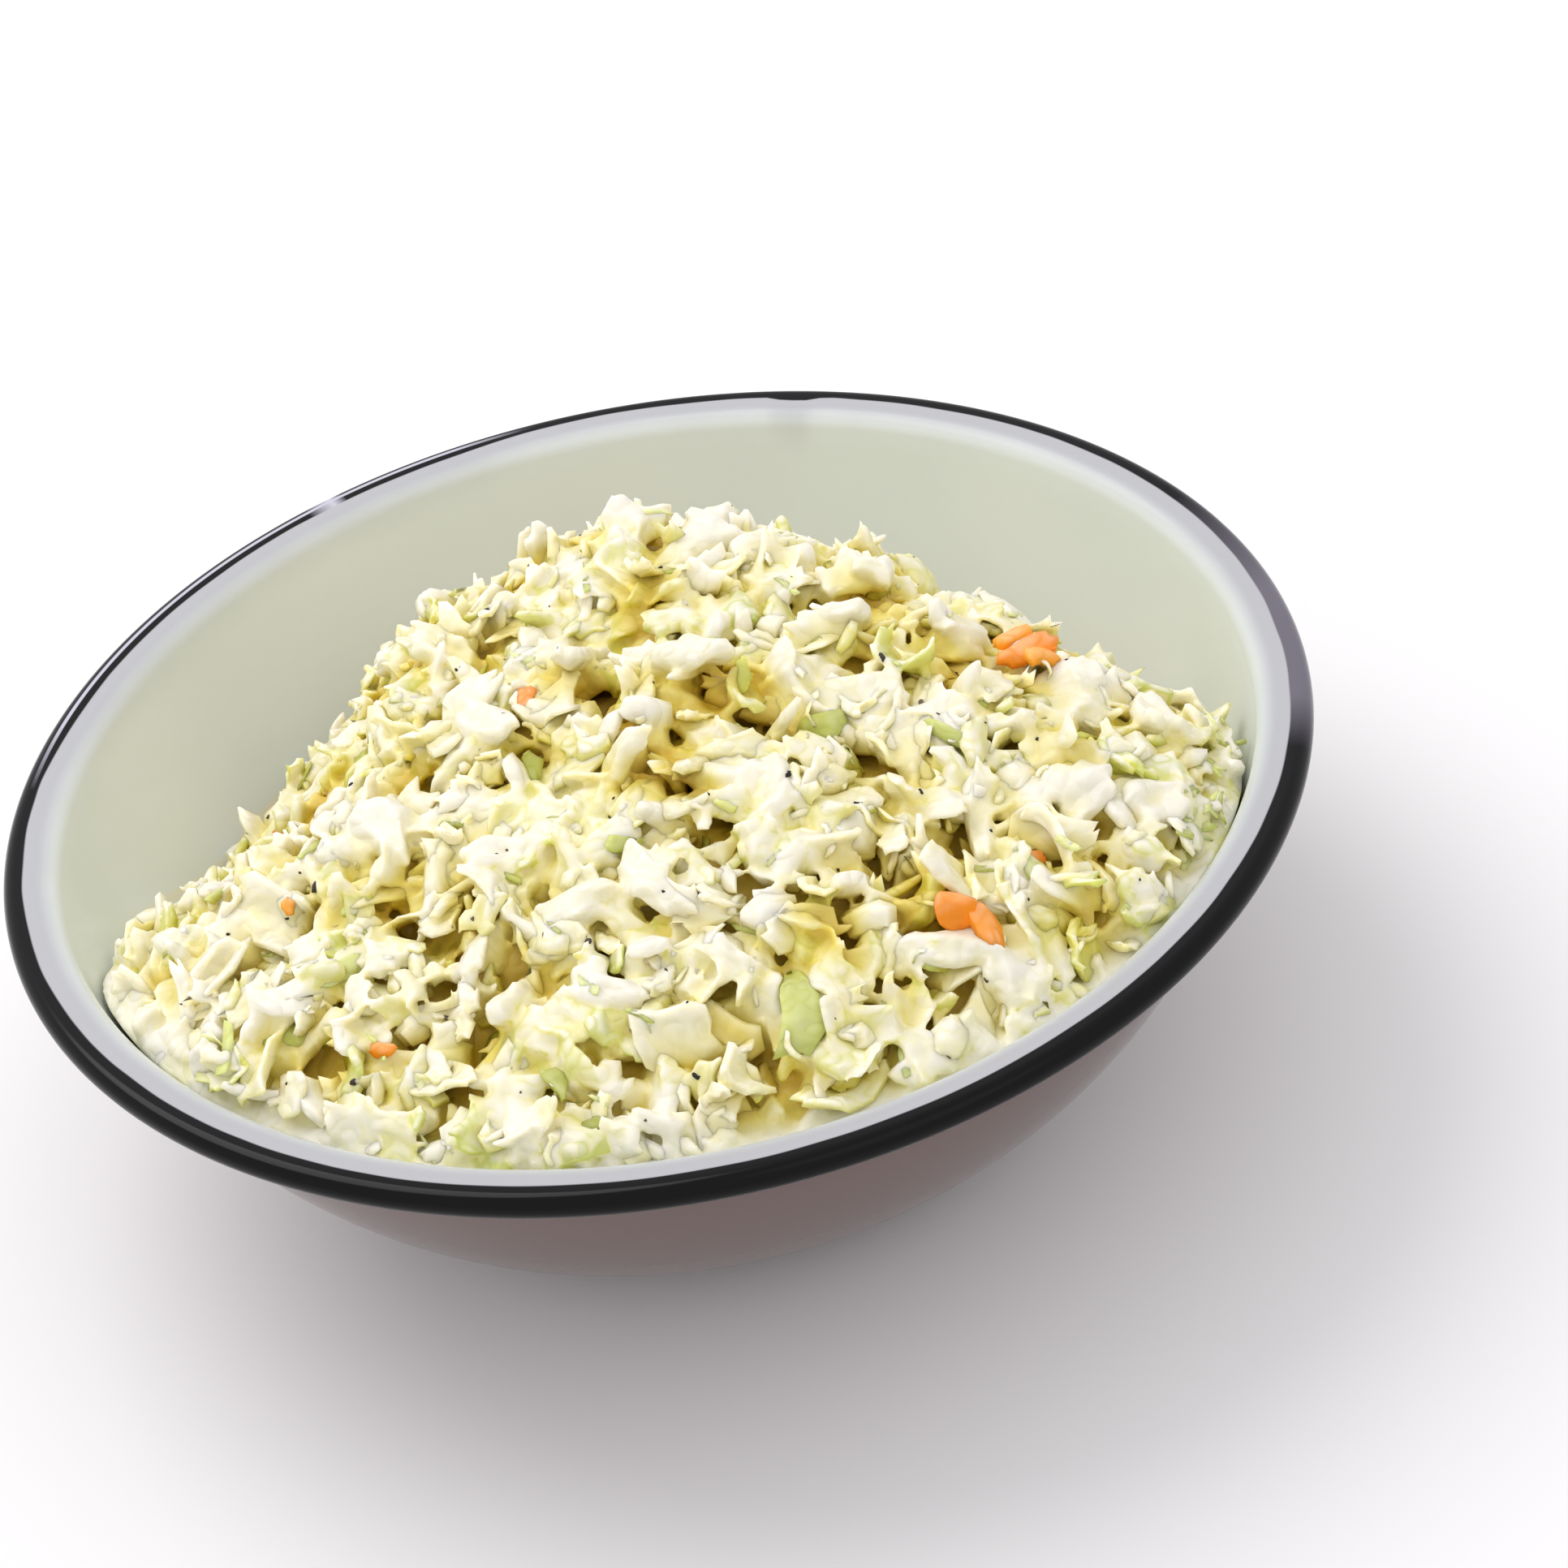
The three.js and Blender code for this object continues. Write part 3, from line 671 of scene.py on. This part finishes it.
def enamel():
    """Vitreous enamel fired on steel: glassy, slightly wavy, white with a black band on the rolled edge."""
    material, tree, shader = new_material(
        "vitreous_enamel", Roughness=0.14, IOR=1.52, Specular_IOR_Level=0.15
    )
    place = add_node(tree, "ShaderNodeTexCoord").outputs["Object"]
    xyz = add_node(tree, "ShaderNodeSeparateXYZ", {"Vector": place}).outputs
    flat = add_node(tree, "ShaderNodeCombineXYZ", {"X": xyz["X"], "Y": xyz["Y"]}).outputs[0]
    radius = add_node(tree, "ShaderNodeVectorMath", {0: flat}, operation="LENGTH").outputs["Value"]
    waver = add_node(
        tree, "ShaderNodeTexNoise", {"Vector": place, "Scale": 1 / (WAVER * MM), "Detail": 1.0}
    ).outputs["Fac"]
    edge = add_node(
        tree, "ShaderNodeMath", {0: waver, 1: 0.5 * MM, 2: radius}, operation="MULTIPLY_ADD"
    ).outputs[0]
    # wear and painted reflections go by the direction round the bowl, from 0 at -X through 0.5 at +X
    turn = add_node(tree, "ShaderNodeMath", {0: xyz["Y"], 1: xyz["X"]}, operation="ARCTAN2").outputs[0]
    turn = add_node(
        tree, "ShaderNodeMapRange", {"Value": turn, "From Min": -math.pi, "From Max": math.pi}
    ).outputs["Result"]
    # the black is wider at a chip at the back and along the line of painted reflection
    chip = add_node(tree, "ShaderNodeValToRGB", {"Fac": turn}, stops=around(CHIP)).outputs["Color"]
    edge = add_node(
        tree, "ShaderNodeMath", {0: chip, 1: CHIP_WIDENS * MM, 2: edge}, operation="MULTIPLY_ADD"
    ).outputs[0]
    stripe = add_node(tree, "ShaderNodeValToRGB", {"Fac": turn}, stops=around(PAINTED_REFLECTION_LINE)).outputs["Color"]
    edge = add_node(
        tree, "ShaderNodeMath", {0: stripe, 1: LINE_WIDENS * MM, 2: edge}, operation="MULTIPLY_ADD"
    ).outputs[0]
    black = add_node(
        tree, "ShaderNodeMapRange",
        {"Value": edge, "From Min": BLACK_FROM[0] * MM, "From Max": BLACK_FROM[1] * MM},
    ).outputs["Result"]
    underside = BOWL_HEIGHT - 2 * BEAD_RADIUS
    above = add_node(
        tree, "ShaderNodeMapRange",
        {"Value": xyz["Z"], "From Min": (underside - 0.6) * MM, "From Max": (underside - 0.2) * MM},
    ).outputs["Result"]
    painted = add_node(tree, "ShaderNodeMath", {0: black, 1: above}, operation="MULTIPLY").outputs[0]
    cloud = add_node(
        tree, "ShaderNodeTexNoise", {"Vector": place, "Scale": 1 / (CLOUD * MM), "Detail": 0.0}
    ).outputs["Fac"]
    inside = add_node(
        tree, "ShaderNodeValToRGB", {"Fac": cloud}, stops=[(0.3, INSIDE_COAT[0]), (0.7, INSIDE_COAT[1])]
    ).outputs["Color"]
    # the white coat faces in and up; what faces down, the underside of the lip and the outer wall, is painted
    # brown grey as shade, for the white enamel in shadow
    normal = add_node(tree, "ShaderNodeNewGeometry").outputs["Normal"]
    up = add_node(tree, "ShaderNodeSeparateXYZ", {"Vector": normal}).outputs["Z"]
    shaded_side = add_node(tree, "ShaderNodeMath", {0: up, 1: 0.0}, operation="LESS_THAN").outputs[0]
    shown = add_node(tree, "ShaderNodeMath", {0: 1.0, 1: shaded_side}, operation="SUBTRACT").outputs[0]
    white = add_node(
        tree, "ShaderNodeMix", {0: shaded_side, 6: inside, 7: linear(OUTSIDE_PAINTED_SHADE)}, data_type="RGBA"
    ).outputs[2]
    # a film of dressing on the wall above the slaw, up to a clear line where the slaw has been taken
    slaw_edge = add_node(
        tree, "ShaderNodeMapRange",
        {
            "Value": xyz["Y"], "From Min": EDGE_FALLS[0] * MM, "From Max": EDGE_FALLS[1] * MM,
            "To Min": (BOWL_HEIGHT - NEAR_EDGE) * MM, "To Max": (BOWL_HEIGHT - FAR_EDGE) * MM,
        },
        interpolation_type="SMOOTHSTEP",
    ).outputs["Result"]
    height = add_node(tree, "ShaderNodeMath", {0: xyz["Z"], 1: slaw_edge}, operation="SUBTRACT").outputs[0]
    height = add_node(
        tree, "ShaderNodeMath", {0: waver, 1: 1.5 * MM, 2: height}, operation="MULTIPLY_ADD"
    ).outputs[0]
    film = add_node(
        tree, "ShaderNodeMapRange",
        {"Value": height, "From Min": FILM_TOP[0] * MM, "From Max": FILM_TOP[1] * MM, "To Max": 0.6},
    ).outputs["Result"]
    smeared = add_node(tree, "ShaderNodeValToRGB", {"Fac": turn}, stops=around(SMEARED)).outputs["Color"]
    film = add_node(tree, "ShaderNodeMath", {0: film, 1: smeared}, operation="MULTIPLY").outputs[0]
    film = add_node(tree, "ShaderNodeMath", {0: film, 1: shown}, operation="MULTIPLY").outputs[0]
    white = add_node(tree, "ShaderNodeMix", {0: film, 6: white, 7: linear(FILM)}, data_type="RGBA").outputs[2]
    # painted shade: the coat is greyer on the lip, for the white lip in shade
    lip = add_node(
        tree, "ShaderNodeMapRange",
        {"Value": edge, "From Min": (lip_end[0] - LIP_FILLET) * MM, "From Max": (lip_end[0] + 1) * MM},
        interpolation_type="SMOOTHSTEP",
    ).outputs["Result"]
    lip = add_node(tree, "ShaderNodeMath", {0: lip, 1: shown}, operation="MULTIPLY").outputs[0]
    white = add_node(
        tree, "ShaderNodeMix", {0: lip, 6: white, 7: linear(LIP_PAINTED_SHADE)}, data_type="RGBA"
    ).outputs[2]
    # painted reflection: at the right the black is mixed with lilac grey, for a window reflected in it; at
    # the far left a pale painted reflection runs along it as a stripe, and it is worn off at one spot
    thin = add_node(tree, "ShaderNodeValToRGB", {"Fac": turn}, stops=around(REFLECTION_AT_RIGHT)).outputs["Color"]
    thin = add_node(tree, "ShaderNodeMath", {0: thin, 1: 0.55}, operation="MULTIPLY").outputs[0]
    black = add_node(
        tree, "ShaderNodeMix", {0: thin, 6: linear(BLACK_COAT), 7: linear(REFLECTION_GREY)}, data_type="RGBA"
    ).outputs[2]
    across = add_node(
        tree, "ShaderNodeMapRange",
        {"Value": radius, "From Min": (RIM_RADIUS - 4) * MM, "From Max": RIM_RADIUS * MM},
    ).outputs["Result"]
    across = add_node(
        tree, "ShaderNodeValToRGB", {"Fac": across},
        stops=[(0.2, "#000000"), (0.24, "#FFFFFF"), (0.38, "#FFFFFF"), (0.43, "#000000")],
    ).outputs["Color"]
    # painted reflection: a pale stripe along the black at the far left; the bare spot is wear
    stripe = add_node(tree, "ShaderNodeMath", {0: stripe, 1: across}, operation="MULTIPLY").outputs[0]
    spot = add_node(tree, "ShaderNodeValToRGB", {"Fac": turn}, stops=around(BARE_SPOT)).outputs["Color"]
    pale_share = add_node(tree, "ShaderNodeMath", {0: stripe, 1: spot}, operation="MAXIMUM").outputs[0]
    pale_share = add_node(tree, "ShaderNodeMath", {0: pale_share, 1: shown}, operation="MULTIPLY").outputs[0]
    black = add_node(
        tree, "ShaderNodeMix", {0: pale_share, 6: black, 7: linear(REFLECTION_AND_WEAR_PALE)}, data_type="RGBA"
    ).outputs[2]
    colour = add_node(tree, "ShaderNodeMix", {0: painted, 6: white, 7: black}, data_type="RGBA").outputs[2]
    ripple = add_node(
        tree, "ShaderNodeTexNoise", {"Vector": place, "Scale": 1 / (RIPPLE * MM), "Detail": 1.0}
    ).outputs["Fac"]
    bump = add_node(tree, "ShaderNodeBump", {"Height": ripple, "Strength": 0.05, "Distance": 0.4 * MM})
    tree.links.new(colour, shader.inputs["Base Color"])
    tree.links.new(bump.outputs["Normal"], shader.inputs["Normal"])
    return material


def dressed(name, stops, crease_shade, dressing, film):
    """Chopped raw vegetable, moist and a little translucent, under a creamy dressing.

    Stops are the flesh's colours by tone, and crease_shade the colours by depth that are multiplied on in
    creases as painted shade.
    The dressing lies in patches on what faces up and on crests, which also paints the tops lighter as lit and
    the creases darker as in shade, and film is how much of it shows at most.
    """
    material, tree, shader = new_material(
        name, Roughness=0.42, IOR=1.4, Subsurface_Weight=0.85, Subsurface_Scale=2.0 * MM,
        Subsurface_Radius=(1.0, 0.9, 0.55),
    )
    shader.subsurface_method = "BURLEY"
    place = add_node(tree, "ShaderNodeTexCoord").outputs["Object"]
    cut = add_node(tree, "ShaderNodeAttribute", attribute_name="cut").outputs["Color"]
    numbers = add_node(tree, "ShaderNodeSeparateColor", {"Color": cut}).outputs
    flesh = add_node(tree, "ShaderNodeValToRGB", {"Fac": numbers["Red"]}, stops=stops).outputs["Color"]
    # finer chips under the dressing, as pillows about 3 mm across with sharp creases between them
    grain = add_node(
        tree, "ShaderNodeTexNoise", {"Vector": place, "Scale": 1 / (GRAIN * MM), "Detail": 0.0}
    ).outputs["Fac"]
    swell = add_node(
        tree, "ShaderNodeTexNoise", {"Vector": place, "Scale": 1 / (PILLOW * MM), "Detail": 0.0}
    ).outputs["Fac"]
    centred = add_node(tree, "ShaderNodeMath", {0: swell, 1: 0.5}, operation="SUBTRACT").outputs[0]
    pillows = add_node(tree, "ShaderNodeMath", {0: centred}, operation="ABSOLUTE").outputs[0]
    # painted shade below the crests of the pieces nearby, more of it the deeper
    shade = add_node(tree, "ShaderNodeValToRGB", {"Fac": numbers["Green"]}, stops=crease_shade).outputs["Color"]
    # dressing on what faces up, in patches; partly painted light: the tops whiter as lit, the sides yellower
    # as in shade
    surface = add_node(tree, "ShaderNodeNewGeometry").outputs
    up = add_node(tree, "ShaderNodeSeparateXYZ", {"Vector": surface["Normal"]}).outputs["Z"]
    # painted shade: hollows, found by pointiness, get less of the pale dressing than crests
    crests = add_node(
        tree, "ShaderNodeMapRange",
        {"Value": surface["Pointiness"], "From Min": 0.46, "From Max": 0.53, "To Min": 0.2},
    ).outputs["Result"]
    patches = add_node(
        tree, "ShaderNodeTexNoise", {"Vector": place, "Scale": 1 / (PATCH * MM), "Detail": 1.0}
    ).outputs["Fac"]
    patches_and_lit_tops = add_node(
        tree, "ShaderNodeMath", {0: patches, 1: 1.1, 2: up}, operation="MULTIPLY_ADD"
    ).outputs[0]
    coat = add_node(
        tree, "ShaderNodeMapRange", {"Value": patches_and_lit_tops, "From Min": 0.8, "From Max": 1.55, "To Max": film}
    ).outputs["Result"]
    # painted shade: less of the pale dressing in the creases between the pillows
    pale_share = add_node(
        tree, "ShaderNodeMapRange", {"Value": pillows, "From Min": 0.0, "From Max": 0.12, "To Min": 0.3}
    ).outputs["Result"]
    coat = add_node(tree, "ShaderNodeMath", {0: coat, 1: pale_share}, operation="MULTIPLY").outputs[0]
    coat = add_node(tree, "ShaderNodeMath", {0: coat, 1: crests}, operation="MULTIPLY").outputs[0]
    coated = add_node(
        tree, "ShaderNodeMix", {0: coat, 6: flesh, 7: linear(dressing)}, data_type="RGBA"
    ).outputs[2]
    colour = add_node(
        tree, "ShaderNodeMix", {0: 1.0, 6: coated, 7: shade}, data_type="RGBA", blend_type="MULTIPLY"
    ).outputs[2]
    relief = add_node(
        tree, "ShaderNodeMath", {0: pillows, 1: 3.0, 2: grain}, operation="MULTIPLY_ADD"
    ).outputs[0]
    bump = add_node(tree, "ShaderNodeBump", {"Height": relief, "Strength": 0.45, "Distance": 1.0 * MM})
    tree.links.new(colour, shader.inputs["Base Color"])
    tree.links.new(bump.outputs["Normal"], shader.inputs["Normal"])
    return material


enamel_material = enamel()
cabbage_material = dressed(
    "chopped_cabbage",
    [(0.0, "#F0ECDA"), (0.45, "#EEE9C8"), (0.75, "#EAE4AA"), (0.9, "#DEDA84"), (1.0, "#C8D06A")],
    [(0.26, "#FFFFFF"), (0.46, "#FAF6D8"), (0.68, "#F1E58E"), (1.0, "#E0C250")], CREAM, 0.85,
)
green_material = dressed(
    "green_cabbage_leaf",
    [(0.0, "#E2E5A4"), (0.4, "#CED482"), (0.7, "#B6BD5C"), (1.0, "#969A28")],
    [(0.26, "#FFFFFF"), (0.5, "#F8F5CC"), (0.72, "#EDE79A"), (1.0, "#CCC05C")], CREAM, 0.15,
)
carrot_material = dressed(
    "grated_carrot",
    [(0.0, "#F08414"), (0.5, "#F2921C"), (1.0, "#F4A22C")],
    [(0.3, "#FFFFFF"), (0.7, "#FADAA4"), (1.0, "#E0A050")], "#FBE6C4", 0.3,
)


def pepper():
    """Ground black pepper: dull, dry, broken hulls from black to grey brown."""
    material, tree, shader = new_material("ground_black_pepper", Roughness=0.7, IOR=1.45)
    cut = add_node(tree, "ShaderNodeAttribute", attribute_name="cut").outputs["Color"]
    numbers = add_node(tree, "ShaderNodeSeparateColor", {"Color": cut}).outputs
    hull = add_node(
        tree, "ShaderNodeValToRGB", {"Fac": numbers["Red"]},
        stops=[(0.0, "#1A1612"), (0.8, "#3A322A"), (1.0, "#6B5D4A")],
    ).outputs["Color"]
    tree.links.new(hull, shader.inputs["Base Color"])
    return material


pepper_material = pepper()

object_from("bowl_enamel", bowl_mesh(), enamel_material, "bowl")


def chopped(name, kind, count, rise, seed):
    """A mesh of so many pieces of a kind, spread over the heap and raised by rise millimetres."""
    draw = np.random.default_rng(seed)
    points, faces = slab(*kind["parts"])
    stray = np.minimum(draw.normal(size=(count, 3)), SPREAD_LIMIT)
    size = np.array(kind["size"]) * np.exp(kind["spread"] * stray)
    curl, cup, sway = (kind[bend] * draw.normal(size=count) for bend in ("curl", "cup", "sway"))
    finish = (kind[word] for word in ("ragged", "thin", "rumple", "point"))
    shapes = shape(points, draw, size, curl, np.abs(cup) + LEAST_CUP * kind["cup"], sway, *finish)
    azimuth, reach = spread_over(count, seed * 1.3, draw)
    lift = draw.uniform(*kind["lift"], count) + rise
    pitch = draw.normal(*kind["pitch"], count)
    roll = kind["lean"] * draw.normal(size=count)
    heading = draw.uniform(0, 2 * math.pi, count)
    places = laid(shapes, azimuth, reach, lift, heading, pitch, roll)
    return joined_mesh(name, places, faces, draw.uniform(size=(count, 3)))


def folded_leaves():
    """A mesh of the large leaves and lumps, each at its own place."""
    draw = np.random.default_rng(SEED + 30)
    points, faces = slab(14, 10)
    bearing, reach, size, heading, pitch, roll, lift, curl, cup = (np.array(part) for part in zip(*FOLDED))
    sway = 0.02 * draw.normal(size=len(size))
    shapes = shape(
        points, draw, FOLDED_SCALE * size, curl, cup, sway, ragged=0.24, thin=0.5, rumple=0.1, point=0.25
    )
    heading, pitch, roll = np.radians(heading), np.radians(pitch), np.radians(roll)
    places = laid(shapes, np.radians(bearing), reach, lift, heading, pitch, roll)
    tints = np.c_[draw.uniform(0, 0.5, len(size)), draw.uniform(size=(len(size), 2))]
    return joined_mesh("folded_leaves", places, faces, tints)


held = [chopped(name, kind, kind["held"], 0.0, SEED + k) for k, (name, kind) in enumerate(KINDS.items())]
held.append(folded_leaves())
skin = dressed_mesh("slaw_heap", [core_mesh()] + held)
copy_cuts(skin, held)
object_from("slaw_heap", skin, cabbage_material, "slaw")
loose = [
    chopped("loose_" + name, kind, kind["loose"], LOOSE_RISE, SEED + 10 + k)
    for k, (name, kind) in enumerate(KINDS.items())
]
for mesh in loose:
    object_from(mesh.name, mesh, cabbage_material)


def tree_over(meshes):
    """What lies in the bowl so far, to find its top with."""
    bm = bmesh.new()
    for mesh in meshes:
        bm.from_mesh(mesh)
    tree = BVHTree.FromBMesh(bm)
    bm.free()
    return tree


slaw_top = tree_over([skin] + loose)
height_and_crests = slaw_crests([skin] + loose)
for mesh in [skin] + loose:
    note_depth(mesh, *height_and_crests)


def seated(shapes, azimuth, reach, heading, pitch, sink):
    """Pieces laid on top of the slaw, pitched up at one end and sunk in by so many millimetres."""
    axes = heap_axes(azimuth, reach)
    at = heap_point(azimuth, reach)
    for k, (place, axis) in enumerate(zip(at, axes)):
        start = Vector(place + PROBE_HEIGHT * axis[:, 2]) * MM
        hit, normal, _, _ = slaw_top.ray_cast(start, -Vector(axis[:, 2]))
        if hit is None:
            continue
        up = (normal + Vector(axis[:, 2])).normalized()
        out = (Vector(axis[:, 0]) - up * up.dot(Vector(axis[:, 0]))).normalized()
        axes[k] = np.stack([out, up.cross(out), up], -1)
        at[k] = np.array(hit) / MM - sink[k] * np.array(up)
    turn = axes @ turned(heading, pitch + np.zeros(len(at)), np.zeros(len(at)))
    return kept_in_bowl(np.einsum("nij,npj->npi", turn, shapes) + at[:, None, :])


def scattered(
    name, parts, size, azimuth, reach, heading, tints, seed, bend=0.05, sunk=0.3, point=0.0, pitch=0.0
):
    """A mesh of pieces on top of the slaw, bent at random and sunk in by a part of their thickness."""
    draw = np.random.default_rng(seed)
    points, faces = slab(*parts)
    count = len(size)
    curl, cup, sway = bend * draw.normal(size=(3, count))
    shapes = shape(
        points, draw, size, curl, cup, 0.5 * sway, ragged=0.18, thin=0.5, rumple=0.05, point=point
    )
    places = seated(shapes, azimuth, reach, heading, pitch, sunk * size[:, 2])
    return joined_mesh(name, places, faces, tints)


draw = np.random.default_rng(SEED + 40)
bearing, reach, size, heading = (np.array(column) for column in zip(*CARROT))
carrot = scattered(
    "grated_carrot", (5, 3), size, np.radians(bearing), reach, np.radians(heading),
    draw.uniform(size=(len(size), 3)), SEED + 41, sunk=np.where(size[:, 0] > LONG_SHRED, -0.3, 0.05),
)
note_depth(carrot, *height_and_crests)
object_from("grated_carrot", carrot, carrot_material)

bearing, reach, size, heading, green = (np.array(column) for column in zip(*GREENS))
stands = size[:, 0] > STANDING_LEAF
leaf = scattered(
    "green_leaf", (6, 4), size, np.radians(bearing), reach, np.radians(heading),
    np.c_[green, draw.uniform(size=(len(size), 2))], SEED + 42,
    sunk=np.where(stands, -1.6, 0.1), point=0.75, pitch=np.where(stands, 0.3, 0.0),
)
note_depth(leaf, *height_and_crests)
object_from("green_leaf", leaf, green_material)

azimuth, reach = spread_over(SLIVERS, 0.4, draw)
azimuth = np.r_[azimuth, np.radians(draw.uniform(*WALL_DIRECTIONS, WALL_SLIVERS))]
reach = np.r_[reach, draw.uniform(*WALL_REACHES, WALL_SLIVERS)]
count = SLIVERS + WALL_SLIVERS
size = np.array(SLIVER_SIZE) * np.exp(0.3 * draw.normal(size=(count, 3)))
slivers = scattered(
    "green_slivers", (4, 1), size, azimuth, reach, draw.uniform(0, 2 * math.pi, count),
    draw.uniform(0, 0.8, size=(count, 3)), SEED + 43, bend=0.08, sunk=0.2,
)
note_depth(slivers, *height_and_crests)
object_from("green_slivers", slivers, green_material)

azimuth, reach = spread_over(FINE_PEPPER, 2.0, draw)
bearing, near = (np.array(column) for column in zip(*PEPPER))
azimuth, reach = np.r_[np.radians(bearing), azimuth], np.r_[near, reach]
count = len(azimuth)
size = np.array(PEPPER_SIZE) * np.exp(0.3 * draw.normal(size=(count, 3)))
size[: len(near)] *= COARSE_PEPPER
grains = scattered(
    "ground_pepper", (2, 2), size, azimuth, reach, draw.uniform(0, 2 * math.pi, count),
    draw.uniform(size=(count, 3)), SEED + 44, bend=0.0,
)
object_from("ground_pepper", grains, pepper_material)

# Floor, light and camera

stage_material, _, _ = new_material("pale_matt_paper", Base_Color=linear("#F2F1F0"), Roughness=0.9)
bm = bmesh.new()
bmesh.ops.create_grid(bm, x_segments=1, y_segments=1, size=6000)
floor = bpy.data.objects.new("floor", mesh_from_bmesh("floor", bm))
floor.data.materials.append(stage_material)
bpy.context.scene.collection.objects.link(floor)


def area_light(name, at, aim, size, watts, code):
    data = bpy.data.lights.new(name, "AREA")
    data.shape = "DISK"
    data.size = size
    data.energy = watts
    data.color = linear(code)[:3]
    lamp = bpy.data.objects.new(name, data)
    lamp.location = at
    lamp.rotation_euler = (Vector(aim) - Vector(at)).to_track_quat("-Z", "Y").to_euler()
    bpy.context.scene.collection.objects.link(lamp)


area_light("window_light", (-0.5, 0.42, 1.15), (0, 0, 0.06), 1.0, 7.0, "#FDFBFB")
area_light("soft_fill", (0.5, -0.7, 1.2), (0, 0, 0.06), 1.0, 0.8, "#FDFBFB")

world = bpy.data.worlds.new("soft_room")
world.use_nodes = True
world.node_tree.nodes["Background"].inputs["Color"].default_value = linear("#F1F0F4")
world.node_tree.nodes["Background"].inputs["Strength"].default_value = 1.06
bpy.context.scene.world = world
bpy.context.scene.view_settings.view_transform = "Standard"

back = (Vector(CAMERA_AT) - Vector(CAMERA_AIM)).normalized()
level = Vector((1, 0, 0))
upright = level.cross(-back)
roll = math.radians(CAMERA_ROLL)
right = math.cos(roll) * level + math.sin(roll) * upright
up = -math.sin(roll) * level + math.cos(roll) * upright
camera_data = bpy.data.cameras.new("camera")
camera_data.lens = LENS
camera_data.sensor_width = SENSOR
camera = bpy.data.objects.new("camera", camera_data)
turned_to_view = Matrix((right, up, back)).transposed().to_4x4()
camera.matrix_world = Matrix.Translation(Vector(CAMERA_AT) * MM) @ turned_to_view
bpy.context.scene.collection.objects.link(camera)
bpy.context.scene.camera = camera
